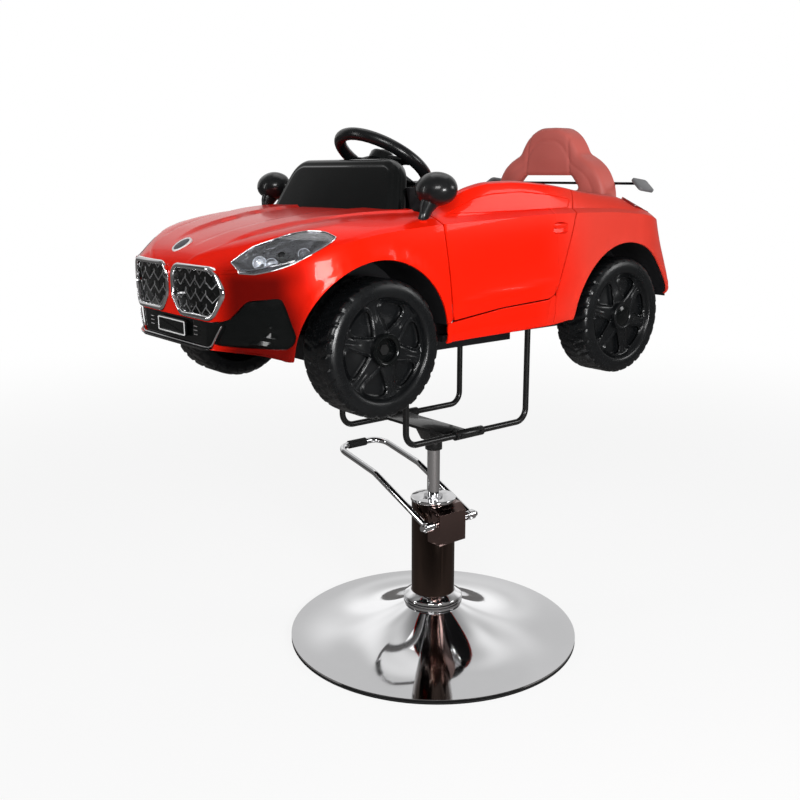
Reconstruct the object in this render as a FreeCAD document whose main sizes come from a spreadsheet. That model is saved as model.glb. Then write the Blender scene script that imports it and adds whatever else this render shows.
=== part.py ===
import FreeCAD, Part
import math
import os
import re
import Sketcher
from FreeCAD import Placement, Rotation, Vector

# Kids car barber chair: a ride-on roadster on a hydraulic barber pump.
# Frame: origin at the floor under the pump axis, +Z up, the car drives towards -X, its left side is -Y.

SIZES = (
    # base
    ("base_radius", 300), ("base_top_radius", 57), ("base_top_height", 70), ("base_wall", 3),
    ("base_hole_radius", 30),
    ("edge_trim_width", 5), ("edge_trim_height", 4),
    ("stiffener_radius", 56), ("stiffener_thickness", 8),
    ("base_bolt_radius", 4), ("base_bolt_circle", 51.5),
    ("bolt_head_radius", 6), ("bolt_head_height", 5),
    ("collar_radius", 61.5), ("collar_wall", 2), ("collar_straight", 18), ("collar_height", 27),
    # hydraulic pump
    ("flange_radius", 58.5), ("flange_thickness", 8),
    ("cylinder_radius", 45), ("cylinder_wall", 3), ("cylinder_top", 296),
    ("head_radius", 47), ("head_thickness", 7), ("head_plug", 6),
    ("ram_radius", 13), ("ram_top", 418), ("slide_clearance", 0.05),
    ("piston_radius", 16), ("piston_height", 25), ("piston_bottom", 155),
    ("barrel_radius", 21), ("bush_wall", 4), ("bush_height", 20), ("bush_lip", 2.5),
    ("housing_front", 37), ("housing_back", 34), ("housing_face", 62), ("housing_bottom", 219),
    ("housing_shoulder", 283), ("housing_slope_depth", 15),
    ("shaft_offset", 50), ("shaft_height", 262), ("shaft_radius", 6), ("shaft_half_length", 74),
    ("finger_length", 20), ("finger_width", 8), ("finger_thickness", 8),
    ("window_half_width", 12), ("window_below", 22), ("window_above", 12), ("window_depth", 30),
    ("plunger_radius", 3), ("plunger_length", 40), ("plunger_offset", 14), ("plunger_barrel_radius", 5),
    ("plunger_barrel_drop", 13), ("plunger_bore_depth", 42), ("contact_gap", 0.3),
    # foot lever
    ("lever_half_width", 60), ("lever_tube_radius", 6.5), ("lever_elbow_reach", 120),
    ("lever_elbow_height", 335), ("lever_end_reach", 254), ("lever_end_height", 362),
    ("lever_bend_radius", 60), ("lever_corner_radius", 30), ("lever_eye_radius", 10),
    ("lever_eye_width", 14), ("lever_collar_radius", 9), ("lever_collar_width", 8),
    ("grip_radius", 9), ("grip_length", 46),
    # carrying frame
    ("hub_radius", 17.5), ("hub_bottom", 404), ("hub_top", 424), ("bracket_depth", 40),
    ("bracket_front", 36), ("plate_front", 52), ("plate_back", 10),
    ("plate_top", 462), ("plate_thickness", 6),
    ("tube_radius", 6), ("tube_spread", 100), ("tube_height", 458), ("tube_front", 156),
    ("tube_back", 162), ("tube_bend_radius", 26),
    ("sleeve_radius", 9.5), ("sleeve_front", 34), ("sleeve_back", 38), ("sleeve_screw_radius", 4),
    ("sleeve_screw_height", 4), ("sleeve_screw_front", 22), ("sleeve_screw_back", 27),
    ("foot_plate_half", 20), ("foot_plate_thickness", 4), ("foot_screw_radius", 3.5),
    # chassis and axles
    ("chassis_bottom", 643), ("chassis_top", 687), ("chassis_wall", 4), ("chassis_front", 360),
    ("chassis_step", 65), ("chassis_rear_bottom", 656), ("chassis_back", 380), ("chassis_half_width", 146),
    ("sill_chassis_bottom", 676), ("sill_chassis_half_width", 232),
    ("sill_chassis_front", 184), ("sill_chassis_back", 104),
    ("wheel_height", 683), ("front_axle_place", 328), ("rear_axle_place", 256), ("axle_radius", 6),
    ("wheel_face", 261), ("tyre_radius", 111), ("tyre_width", 74), ("tyre_wall", 4), ("tyre_shoulder", 9),
    ("tyre_face_radius", 104), ("rim_radius", 84), ("rim_lip", 2), ("rim_wall", 4), ("rim_dish", 9),
    ("rim_disc", 7), ("rim_window_depth", 4), ("hub_boss_radius", 27),
    ("hub_boss_depth", 60), ("hub_boss_rise", 3), ("hub_recess_radius", 19), ("hub_recess_depth", 14),
    ("hub_cap_thickness", 4), ("axle_nut_radius", 9), ("axle_nut_width", 5), ("axle_tip_depth", 5),
    ("tread_groove_width", 6), ("tread_groove_depth", 3), ("tread_groove_reach", 22),
    ("kingpin_place", 176), ("kingpin_radius", 5), ("eye_radius", 10), ("eye_height", 20),
    ("knuckle_disc_radius", 9), ("knuckle_plate", 5.6), ("knuckle_plate_place", 190),
    ("knuckle_half_width", 9), ("knuckle_gap", 0.3), ("steering_arm", 40), ("arm_width", 8),
    ("tie_pin_radius", 3), ("tie_pin_height", 9), ("tie_rod_thickness", 5), ("tie_rod_half_width", 8),
    ("tie_slot_side_clearance", 0.4), ("tie_slot_length_clearance", 2.5),
    ("beam_half_width", 8), ("beam_half_height", 8),
    # body form
    ("nose_place", 569), ("body_length", 1020), ("sill_height", 680), ("body_height", 262),
    ("body_half_width", 262), ("skin_thickness", 4), ("liner_thickness", 3), ("skin_open_drop", 60),
    ("panel_swell", 1.5),
    ("arch_radius", 141), ("front_arch_offset", 7), ("rear_arch_offset", 6), ("liner_inner_place", 150),
    ("liner_bottom", 710), ("panel_gap", 2.5), ("joint_gap", 1),
    ("sill_seam_place", 198), ("door_shelf_height", 704),
    ("door_slab_half_width", 222), ("door_hinge_place", 186), ("door_hinge_offset", 254),
    ("door_pin_radius", 3), ("door_pin_top", 838), ("door_tube_radius", 7),
    ("cockpit_front", 217), ("cockpit_back", 358), ("cockpit_half_width", 205), ("cockpit_corner", 40),
    ("cockpit_cut_drop", 70),
    ("tub_half_width", 214), ("tub_front", 212), ("tub_top", 866), ("tub_wall", 3),
    # trim
    ("grille_inner", 7), ("grille_outer", 151), ("grille_top", 820), ("grille_bottom", 737),
    ("grille_frame_width", 6), ("grille_frame_depth", 12), ("grille_corner", 22),
    ("grille_stand_off", 3), ("grille_mesh_thickness", 3), ("mesh_bar", 3), ("grille_gap", 0.2),
    ("nose_hole_depth", 40),
    ("lip_top", 732), ("lip_bottom", 698), ("lip_top_half", 150), ("lip_bottom_half", 112), ("lip_depth", 60),
    ("number_plate_length", 96), ("number_plate_height", 26), ("number_plate_thickness", 4),
    ("number_plate_place", 715),
    ("vent_half_width", 120),
    ("lens_margin", 0.5), ("badge_radius", 14), ("badge_thickness", 3),
    ("badge_sink", 1.5),
    ("screen_bottom_half", 193), ("screen_top_half", 152), ("screen_slant_length", 99),
    ("screen_wall", 4), ("screen_return", 30), ("screen_corner", 34),
    ("screen_base_place", 246), ("screen_base_height", 884), ("screen_sink", 16),
    ("dash_half_width", 178), ("dash_back", 160), ("dash_knee", 904), ("dash_top", 930),
    ("dash_face_back", 180), ("dash_wall", 4),
    ("wheel_hub_front", 127), ("steering_height", 975),
    ("steering_ring_radius", 87), ("steering_tube_radius", 11), ("steering_hub_radius", 28),
    ("steering_hub_height", 22), ("steering_spoke_width", 22), ("steering_spoke_thickness", 8),
    ("column_radius", 7), ("column_length", 286), ("horn_radius", 17), ("horn_height", 8),
    ("horn_sink", 5), ("button_radius", 8), ("button_height", 7), ("button_place", 90),
    ("button_rise", 4),
    ("mirror_place", 210), ("mirror_offset", 243), ("mirror_height", 929), ("mirror_half_length", 33),
    ("mirror_half_width", 37), ("mirror_half_height", 27), ("mirror_foot_radius", 8),
    ("mirror_foot_place", 226), ("mirror_foot_height", 884), ("mirror_glass_thickness", 3),
    ("mirror_back_cut", 17),
    # seat and tail
    ("seat_front", 116), ("seat_back_face", 310), ("seat_half_width", 140), ("seat_height", 792),
    ("seat_edge_round", 18), ("seat_wall", 4), ("seat_back_depth", 45), ("seat_back_half_width", 154),
    ("seat_back_bottom", 770), ("seat_back_height", 275), ("seat_back_round", 12),
    ("seat_opening_bottom", 918), ("seat_opening_top", 948), ("seat_opening_low_half", 84),
    ("seat_opening_high_half", 60), ("seat_gap", 0.6),
    ("wing_place", 382), ("wing_height", 932), ("wing_half_span", 186), ("wing_chord", 44),
    ("wing_thickness", 5), ("wing_end_half_span", 232), ("wing_end_chord", 58), ("wing_end_thickness", 8),
    ("wing_post_radius", 6), ("wing_post_offset", 120), ("wing_post_foot", 890),
    ("tail_lamp_front", 396), ("tail_lamp_top", 842), ("tail_lamp_bottom", 800),
    ("tail_lamp_inner", 90),
    ("cut_overrun", 10), ("far_reach", 700),
)
# Angles in degrees, and counts.
ANGLES = (("steering_lean", 57.5), ("door_swing", 62), ("screen_lean", 22), ("grille_sweep", 9.5),
          ("badge_tilt", 30))
COUNTS = (("base_bolt_count", 6), ("base_curve_points", 9), ("door_sweep_steps", 12), ("spoke_count", 6),
          ("tread_count", 30), ("mesh_rows", 4), ("mesh_columns", 6))

doc = FreeCAD.newDocument("kids_car_barber_chair")
sheet = doc.addObject("Spreadsheet::Sheet", "Sizes")
for row, (alias, number) in enumerate(SIZES + ANGLES + COUNTS, start=1):
    sheet.set("A%d" % row, alias)
    sheet.set("B%d" % row, str(number))
    sheet.setAlias("B%d" % row, alias)
doc.recompute()


class Values:
    pass


v = Values()
for alias, number in SIZES + ANGLES + COUNTS:
    setattr(v, alias, float(sheet.get(alias)))

nodes = []


def bound(text):
    # an expression on the sheet, written with the plain names
    return re.sub(r"[a-z]\w*", lambda found: "Sizes." + found.group(0), text)


def name_node(item, label):
    item.Label = label
    nodes.append(item)
    return item


def outline_sketch(body, plane, points):
    sketch = body.newObject("Sketcher::SketchObject", body.Name + "_outline")
    origin_plane = [item for item in body.Origin.OriginFeatures if item.Role == plane][0]
    sketch.AttachmentSupport = (origin_plane, [""])
    sketch.MapMode = "FlatFace"
    count = len(points)
    start = [Vector(math.cos(2 * math.pi * i / count), math.sin(2 * math.pi * i / count), 0) * v.hub_radius
             for i in range(count)]
    for i in range(count):
        sketch.addGeometry(Part.LineSegment(start[i], start[(i + 1) % count]))
    for i in range(count):
        sketch.addConstraint(Sketcher.Constraint("Coincident", i, 2, (i + 1) % count, 1))
        for axis, text in zip("XY", points[i]):
            number = sketch.addConstraint(Sketcher.Constraint("Distance" + axis, -1, 1, i, 1, 1.0))
            sketch.setExpression("Constraints[%d]" % number, bound(text))
    return sketch


def place(item, x="0", y="0", z="0", turn=None):
    if turn:
        item.Placement = Placement(Vector(), Rotation(Vector(*turn[0]), turn[1]))
    for axis, text in zip("xyz", (x, y, z)):
        if text != "0":
            item.setExpression("Placement.Base." + axis, bound(text))
    return item


def turned(name, profile):
    # body of revolution about Z; profile points are (radius, height)
    body = doc.addObject("PartDesign::Body", name)
    sketch = outline_sketch(body, "XZ_Plane", profile)
    feature = body.newObject("PartDesign::Revolution", name + "_turn")
    feature.Profile = sketch
    feature.ReferenceAxis = (sketch, ["V_Axis"])
    feature.Angle = 360
    return body


def padded(name, plane, points, depth, both_ways=False):
    # XY pads along +Z, XZ along -Y, YZ along +X
    body = doc.addObject("PartDesign::Body", name)
    sketch = outline_sketch(body, plane, points)
    feature = body.newObject("PartDesign::Pad", name + "_pad")
    feature.Profile = sketch
    feature.setExpression("Length", bound(depth))
    if both_ways:
        feature.SideType = "Symmetric"
    return body


AXES = {"Z": None, "-Z": ((1, 0, 0), 180), "X": ((0, 1, 0), 90), "-X": ((0, 1, 0), -90),
        "Y": ((1, 0, 0), -90), "-Y": ((1, 0, 0), 90)}


def peg(name, radius, length, x="0", y="0", z="0", axis="Z"):
    item = doc.addObject("Part::Cylinder", name)
    item.setExpression("Radius", bound(radius))
    item.setExpression("Height", bound(length))
    return place(item, x, y, z, AXES[axis])


def block(name, x_range, y_range, z_range):
    item = doc.addObject("Part::Box", name)
    for side, (low, high) in zip(("Length", "Width", "Height"), (x_range, y_range, z_range)):
        item.setExpression(side, bound("(%s) - (%s)" % (high, low)))
    return place(item, x_range[0], y_range[0], z_range[0])


def joined(name, members):
    item = doc.addObject("Part::MultiFuse", name)
    item.Shapes = members
    return item


def grouped(name, members):
    item = doc.addObject("Part::Compound", name)
    item.Links = members
    return item


def cut(name, base, tool):
    item = doc.addObject("Part::Cut", name)
    item.Base = base
    item.Tool = tool
    return item


def feature(name, shape):
    item = doc.addObject("Part::Feature", name)
    item.Shape = shape
    return item


def mirrored(shape):
    return shape.mirror(Vector(), Vector(0, 1, 0))


def box_shape(x0, x1, y0, y1, z0, z1):
    return Part.makeBox(x1 - x0, y1 - y0, z1 - z0, Vector(x0, y0, z0))


def cylinder_shape(radius, start, end):
    return Part.makeCylinder(radius, (end - start).Length, start, end - start)


def polygon_prism(points, along):
    return Part.Face(Part.makePolygon(points + points[:1])).extrude(along)


def rounded_outline(points, radius):
    # closed wire through flat corner points, each corner an arc of the radius
    count = len(points)
    edges = []
    ends = []
    for i in range(count):
        corner = points[i]
        before = (points[i - 1] - corner).normalize()
        after = (points[(i + 1) % count] - corner).normalize()
        half = before.getAngle(after) / 2
        step = radius / math.tan(half)
        middle = (before + after).normalize() * (radius / math.sin(half) - radius)
        ends.append((corner + before * step, corner + middle, corner + after * step))
    for i in range(count):
        start, middle, finish = ends[i]
        edges.append(Part.Arc(start, middle, finish).toShape())
        following = ends[(i + 1) % count][0]
        if (following - finish).Length > v.slide_clearance:
            edges.append(Part.LineSegment(finish, following).toShape())
    return Part.Wire(edges)


def bent_tube(points, radii, tube_radius):
    # a tube along straight runs joined by tangent arcs
    edges = []
    last = points[0]
    for i in range(1, len(points) - 1):
        corner = points[i]
        before = (points[i - 1] - corner).normalize()
        after = (points[i + 1] - corner).normalize()
        half = before.getAngle(after) / 2
        radius = radii[i - 1]
        step = radius / math.tan(half)
        middle = (before + after).normalize() * (radius / math.sin(half) - radius)
        edges.append(Part.LineSegment(last, corner + before * step).toShape())
        edges.append(Part.Arc(corner + before * step, corner + middle, corner + after * step).toShape())
        last = corner + after * step
    edges.append(Part.LineSegment(last, points[-1]).toShape())
    path = Part.Wire(edges)
    ring = Part.Wire(Part.makeCircle(tube_radius, points[0], points[1] - points[0]))
    return path.makePipeShell([ring], True, True)


# Base: a spun dish with a flared foot, its edge trim, the stiffener under it and the bolts.

def bolt_circle():
    bolts = []
    low = v.base_top_height - v.base_wall - v.stiffener_thickness
    seat = v.base_top_height + v.flange_thickness
    for i in range(int(v.base_bolt_count)):
        angle = 2 * math.pi * i / v.base_bolt_count
        spot = Vector(math.cos(angle), math.sin(angle), 0) * v.base_bolt_circle
        shank = cylinder_shape(v.base_bolt_radius, spot + Vector(0, 0, low), spot + Vector(0, 0, seat))
        corners = [spot + Vector(math.cos(angle + math.pi * k / 3), math.sin(angle + math.pi * k / 3), 0)
                   * v.bolt_head_radius + Vector(0, 0, seat) for k in range(6)]
        head = polygon_prism(corners, Vector(0, 0, v.bolt_head_height))
        bolts.append(shank.fuse(head).removeSplitter())
    return Part.makeCompound(bolts)


BASE_FLARE_SHARE = 2.2


def base_dish():
    rise = v.base_top_height - v.edge_trim_height - v.base_wall
    run = v.base_radius - v.base_top_radius
    count = int(v.base_curve_points)
    shares = [i / (count - 1) for i in range(count)]
    outer = [Vector(v.base_radius - run * share, 0,
                    v.edge_trim_height + v.base_wall + rise * share ** BASE_FLARE_SHARE)
             for share in shares]
    inner = [point - Vector(0, 0, v.base_wall) for point in outer]
    upper = Part.BSplineCurve()
    upper.interpolate(outer)
    lower = Part.BSplineCurve()
    lower.interpolate(inner)
    mouth_top = Vector(v.base_hole_radius, 0, v.base_top_height)
    mouth_bottom = mouth_top - Vector(0, 0, v.base_wall)
    wire = Part.Wire([upper.toShape(), Part.LineSegment(outer[-1], mouth_top).toShape(),
                      Part.LineSegment(mouth_top, mouth_bottom).toShape(),
                      Part.LineSegment(mouth_bottom, inner[-1]).toShape(), lower.toShape(),
                      Part.LineSegment(inner[0], outer[0]).toShape()])
    return Part.Face(wire).revolve(Vector(), Vector(0, 0, 1), 360).cut(bolt_circle())


name_node(feature("Dish", base_dish()), "base_dish")
name_node(turned("EdgeTrim", [("base_radius - edge_trim_width", "0"), ("base_radius", "0"),
                              ("base_radius", "edge_trim_height"),
                              ("base_radius - edge_trim_width", "edge_trim_height")]), "base_edge_trim")
under_dish = "base_top_height - base_wall"
bolt_tool = name_node(feature("BaseBolts", bolt_circle()), "base_bolts")
stiffener_disc = turned("StiffenerDisc", [
    ("base_hole_radius", under_dish + " - stiffener_thickness"),
    ("stiffener_radius", under_dish + " - stiffener_thickness"),
    ("stiffener_radius", under_dish), ("base_hole_radius", under_dish)])
name_node(cut("Stiffener", stiffener_disc, bolt_tool), "base_stiffener")

# Pump: outer cylinder, ram barrel with the plunger barrel beside it, head, bush and lever housing.

ring_top = "base_top_height + collar_height"
name_node(turned("Collar", [
    ("collar_radius - collar_wall", "base_top_height"), ("collar_radius", "base_top_height"),
    ("collar_radius", "base_top_height + collar_straight"), ("cylinder_radius + collar_wall", ring_top),
    ("cylinder_radius + slide_clearance", ring_top),
    ("cylinder_radius + slide_clearance", ring_top + " - collar_wall"),
    ("collar_radius - collar_wall", "base_top_height + collar_straight - collar_wall")]), "column_collar")

deck = "base_top_height + flange_thickness"
cylinder_body = turned("CylinderTurning", [
    ("0", "base_top_height"), ("flange_radius", "base_top_height"), ("flange_radius", deck),
    ("cylinder_radius", deck), ("cylinder_radius", "cylinder_top"),
    ("cylinder_radius - cylinder_wall", "cylinder_top"), ("cylinder_radius - cylinder_wall", deck),
    ("0", deck)])
window = block("LeverWindow", ("-window_half_width", "window_half_width"),
               ("-shaft_offset - finger_thickness", "-shaft_offset + window_depth"),
               ("shaft_height - window_below", "shaft_height + window_above"))
windowed = cut("WindowedCylinder", cylinder_body, window)
name_node(cut("Cylinder", windowed, bolt_tool), "pump_cylinder")
window_again = block("HousingWindow", ("-window_half_width", "window_half_width"),
                     ("-shaft_offset - finger_thickness", "-shaft_offset + window_depth"),
                     ("shaft_height - window_below", "shaft_height + window_above"))

barrel_bore = "piston_radius + slide_clearance"
barrel_body = turned("BarrelTurning", [
    ("0", deck), ("barrel_radius", deck), ("barrel_radius", "cylinder_top - bush_height + head_thickness"),
    (barrel_bore, "cylinder_top - bush_height + head_thickness"),
    (barrel_bore, deck + " + barrel_radius - piston_radius"),
    ("0", deck + " + barrel_radius - piston_radius")])
plunger_y = "-shaft_offset + plunger_offset"
finger_under = "shaft_height - finger_thickness / 2"
plunger_tube = peg("PlungerTube", "plunger_barrel_radius",
                   "shaft_height - finger_thickness / 2 - plunger_barrel_drop - (%s)" % deck,
                   "0", plunger_y, deck)
plunger_bore = peg("PlungerBore", "plunger_radius + slide_clearance", "plunger_bore_depth + cut_overrun",
                   "0", plunger_y, finger_under + " - plunger_barrel_drop - plunger_bore_depth")
bridge = block("BarrelBridge", ("-plunger_radius", "plunger_radius"),
               ("-shaft_offset + plunger_offset + plunger_radius",
                "-piston_radius - slide_clearance - plunger_radius / 2"),
               (deck, deck + " + plunger_bore_depth"))
cast = joined("BarrelCasting", [barrel_body, plunger_tube, bridge])
name_node(cut("Barrel", cast, plunger_bore), "pump_barrel")

bush_outer = "ram_radius + slide_clearance + bush_wall"
name_node(turned("Head", [
    (bush_outer, "cylinder_top - head_plug"), ("cylinder_radius - cylinder_wall", "cylinder_top - head_plug"),
    ("cylinder_radius - cylinder_wall", "cylinder_top"), ("head_radius", "cylinder_top"),
    ("head_radius", "cylinder_top + head_thickness - bush_lip / 2"),
    ("head_radius - bush_lip / 2", "cylinder_top + head_thickness"),
    (bush_outer, "cylinder_top + head_thickness")]), "pump_head")
head_top = "cylinder_top + head_thickness"
name_node(turned("Bush", [
    ("ram_radius + slide_clearance", head_top + " - bush_height"), (bush_outer, head_top + " - bush_height"),
    (bush_outer, head_top), (bush_outer + " + bush_lip", head_top),
    (bush_outer + " + bush_lip", head_top + " + bush_lip"),
    ("ram_radius + slide_clearance", head_top + " + bush_lip")]), "ram_bush")

housing_block = padded("HousingBlock", "YZ_Plane", [
    ("-housing_face", "housing_bottom"), ("-housing_face", "housing_shoulder"),
    ("-housing_face + housing_slope_depth", "cylinder_top"), ("-cylinder_radius / 2", "cylinder_top"),
    ("-cylinder_radius / 2", "housing_bottom")], "housing_front + housing_back")
place(housing_block, "-housing_front")
housing_cylinder = peg("HousingSeat", "cylinder_radius", "cylinder_top", "0", "0", "0")
shaft_bore = peg("ShaftBore", "shaft_radius + slide_clearance", "4 * housing_front",
                 "-2 * housing_front", "-shaft_offset", "shaft_height", "X")
housing_tools = joined("HousingTools", [housing_cylinder, shaft_bore, window_again])
name_node(cut("Housing", housing_block, housing_tools), "pump_housing")

name_node(turned("Ram", [
    ("0", "piston_bottom"), ("piston_radius", "piston_bottom"),
    ("piston_radius", "piston_bottom + piston_height"), ("ram_radius", "piston_bottom + piston_height"),
    ("ram_radius", "ram_top"), ("0", "ram_top")]), "ram_rod")

# Pedal: shaft with its pressing finger, the U-shaped lever, its stop collars and the toe grip.

shaft = peg("Shaft", "shaft_radius", "2 * shaft_half_length", "-shaft_half_length", "-shaft_offset",
            "shaft_height", "X")
finger = block("Finger", ("-finger_width / 2", "finger_width / 2"),
               ("-shaft_offset", "-shaft_offset + finger_length"),
               ("shaft_height - finger_thickness / 2", "shaft_height + finger_thickness / 2"))
shaft_piece = joined("ShaftPiece", [shaft, finger])


def lever_points(side):
    half = side * v.lever_half_width
    return [Vector(half, -v.shaft_offset, v.shaft_height),
            Vector(half, v.lever_elbow_reach, v.lever_elbow_height),
            Vector(half, v.lever_end_reach, v.lever_end_height)]


def foot_lever():
    bar = bent_tube(lever_points(1) + lever_points(-1)[::-1],
                    [v.lever_bend_radius, v.lever_corner_radius, v.lever_corner_radius,
                     v.lever_bend_radius], v.lever_tube_radius)
    for side in (1, -1):
        middle = Vector(side * v.lever_half_width, -v.shaft_offset, v.shaft_height)
        reach = Vector(v.lever_eye_width / 2, 0, 0)
        bar = bar.fuse(cylinder_shape(v.lever_eye_radius, middle - reach, middle + reach))
        bar = bar.cut(cylinder_shape(v.shaft_radius, middle - reach * 2, middle + reach * 2))
        shoulder = cylinder_shape(v.lever_tube_radius * 2, middle - reach * 2, middle - reach)
        bar = bar.cut(shoulder) if bar.common(shoulder).Volume > 0 else bar
    return max(bar.Solids, key=lambda solid: solid.Volume)


name_node(feature("FootLever", foot_lever()), "foot_lever")


def lever_collars():
    rings = []
    for side in (1, -1):
        near = Vector(side * (v.lever_half_width - v.lever_eye_width / 2), -v.shaft_offset, v.shaft_height)
        far = near - Vector(side * v.lever_collar_width, 0, 0)
        ring = cylinder_shape(v.lever_collar_radius, near, far)
        rings.append(ring.cut(cylinder_shape(v.shaft_radius, near, far)))
    return Part.makeCompound(rings)


name_node(grouped("LeverShaft", [shaft_piece, feature("LeverCollars", lever_collars())]), "lever_shaft")


def lever_grip():
    end = Vector(-v.lever_half_width + v.lever_corner_radius, v.lever_end_reach, v.lever_end_height)
    reach = Vector(v.grip_length, 0, 0)
    sleeve = cylinder_shape(v.grip_radius, end, end + reach)
    return sleeve.cut(cylinder_shape(v.lever_tube_radius, end, end + reach))


name_node(feature("LeverGrip", lever_grip()), "lever_grip")
name_node(peg("Plunger", "plunger_radius", "plunger_length", "0", plunger_y,
              finger_under + " - contact_gap - plunger_length"), "pump_plunger")

# Carrier: hub on the ram, welded bracket and cross plate, two U tubes in their sleeves.

name_node(turned("Hub", [
    ("ram_radius + slide_clearance", "hub_bottom"), ("hub_radius", "hub_bottom"),
    ("hub_radius", "hub_top"), ("0", "hub_top"), ("0", "ram_top + contact_gap"),
    ("ram_radius + slide_clearance", "ram_top + contact_gap")]), "hub_socket")
plate_under = "plate_top - plate_thickness"
bracket = padded("Bracket", "XZ_Plane", [
    ("-hub_radius", "hub_top"), ("hub_radius", "hub_top"), ("plate_back", plate_under),
    ("-bracket_front", plate_under)], "bracket_depth", True)
plate = block("Plate", ("-plate_front", "plate_back"),
              ("-tube_spread + sleeve_radius", "tube_spread - sleeve_radius"), (plate_under, "plate_top"))
name_node(joined("CrossPlate", [bracket, plate]), "cross_plate")


LEGS = ((-v.tube_front, v.chassis_bottom - v.foot_plate_thickness),
        (v.tube_back, v.chassis_rear_bottom - v.foot_plate_thickness))


def u_tube(side):
    y = side * v.tube_spread
    points = [Vector(LEGS[0][0], y, LEGS[0][1]), Vector(LEGS[0][0], y, v.tube_height),
              Vector(LEGS[1][0], y, v.tube_height), Vector(LEGS[1][0], y, LEGS[1][1])]
    return bent_tube(points, [v.tube_bend_radius] * 2, v.tube_radius)


name_node(feature("TubeLeft", u_tube(-1)), "u_tube_left")
name_node(feature("TubeRight", u_tube(1)), "u_tube_right")


def tube_sleeves():
    sleeves = []
    for side in (-1, 1):
        start = Vector(-v.sleeve_front, side * v.tube_spread, v.tube_height)
        end = Vector(v.sleeve_back, side * v.tube_spread, v.tube_height)
        sleeve = cylinder_shape(v.sleeve_radius, start, end)
        sleeves.append(sleeve.cut(cylinder_shape(v.tube_radius, start, end)))
    return Part.makeCompound(sleeves)


def sleeve_screws():
    screws = []
    for side in (-1, 1):
        for x in (-v.sleeve_screw_front, v.sleeve_screw_back):
            start = Vector(x, side * (v.tube_spread + v.tube_radius), v.tube_height)
            end = Vector(x, side * (v.tube_spread + v.sleeve_radius + v.sleeve_screw_height), v.tube_height)
            screw = cylinder_shape(v.sleeve_screw_radius, start, end)
            axis_start = Vector(-v.sleeve_front, side * v.tube_spread, v.tube_height)
            axis_end = Vector(v.sleeve_back, side * v.tube_spread, v.tube_height)
            screws.append(screw.cut(cylinder_shape(v.sleeve_radius, axis_start, axis_end)))
    return Part.makeCompound(screws)


name_node(feature("TubeSleeves", Part.makeCompound([tube_sleeves(), sleeve_screws()])), "tube_sleeves")


def foot_plates():
    plates = []
    half = v.foot_plate_half
    for x, height in LEGS:
        for side in (-1, 1):
            y = side * v.tube_spread
            plates.append(box_shape(x - half, x + half, y - half, y + half,
                                    height, height + v.foot_plate_thickness))
    return Part.makeCompound(plates)


def foot_screws():
    screws = []
    inset = v.foot_plate_half - 2 * v.foot_screw_radius
    head = Vector(0, 0, v.foot_screw_radius)
    for x, height in LEGS:
        for side in (-1, 1):
            for shift in (-inset, inset):
                top = Vector(x + shift, side * v.tube_spread + inset, height)
                screws.append(cylinder_shape(v.foot_screw_radius, top - head, top))
    return Part.makeCompound(screws)


name_node(feature("FootPlates", Part.makeCompound([foot_plates(), foot_screws()])), "foot_plates")

# Body form: stations along the car as shares of its length, half width and height.

CROWN_SHARES = ((0, .534), (.026, .614), (.068, .676), (.117, .725), (.166, .763), (.225, .794),
                (.283, .813), (.347, .824), (.411, .935), (.476, .992), (.529, 1), (.608, .981),
                (.70, .935), (.761, .908), (.813, .893), (.864, .863), (.911, .828), (.95, .779),
                (.979, .718), (1, .649))
BELT_HEIGHT_SHARES = ((0, .523), (.026, .588), (.054, .637), (.092, .691), (.156, .740), (.223, .775),
                      (.297, .794), (.347, .805), (.372, .840), (.398, .897), (.430, .947), (.476, .977),
                      (.529, .981), (.608, .962), (.673, .931), (.70, .912), (.761, .885), (.813, .866),
                      (.864, .813), (.911, .771), (.940, .725), (.970, .676), (1, .618))
BELT_WIDTH_SHARES = ((0, .62), (.068, .74), (.166, .80), (.264, .81), (.347, .82), (.401, .885),
                     (.476, .90), (.607, .90), (.705, .89), (.813, .875), (.891, .86), (.95, .84), (1, .80))
SHOULDER_HEIGHT_SHARES = ((0, .481), (.048, .519), (.097, .580), (.166, .656), (.234, .702),
                          (.303, .725), (.353, .737), (.509, .76), (.671, .775), (.754, .771),
                          (.852, .748), (.93, .695), (.979, .634), (1, .588))
LEDGE_RISE_SHARES = ((0, .015), (.264, .023), (.353, .038), (.671, .031), (.852, .023), (1, .015))
LEDGE_WIDTH_SHARES = ((0, .97), (.264, .955), (.353, .935), (.671, .94), (.852, .95), (1, .96))
BOTTOM_SHARES = ((0, .046), (.048, .031), (.087, -.008), (.136, -.015), (.372, 0), (.617, .015),
                 (.675, .038), (.93, .122), (1, .183))
CREASE_WIDTH_SHARES = ((0, .5), (.068, .55), (.166, .60), (.313, .62), (.347, .62), (.401, .80),
                       (.476, .82), (.607, .82), (.705, .80), (.813, .78), (1, .7))
STATION_SHARES = (.008, .016, .028, .048, .0735, .107, .151, .2, .254, .303, .340, .367, .391, .421,
                  .46, .509, .558, .617, .675, .734, .793, .842, .886, .921, .95, .972, .986, .994)
NOSE_TAPER_SHARE = .208
TAIL_TAPER_HIGH_SHARE = .147
TAIL_TAPER_LOW_SHARE = .06
SIDE_FOOT_SHARE = .955
SIDE_LOW_SHARE = .985
WAIST_HEIGHT_SHARE = .42
LOW_HEIGHT_SHARE = .382
CREASE_MIX_SHARE = .35


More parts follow.
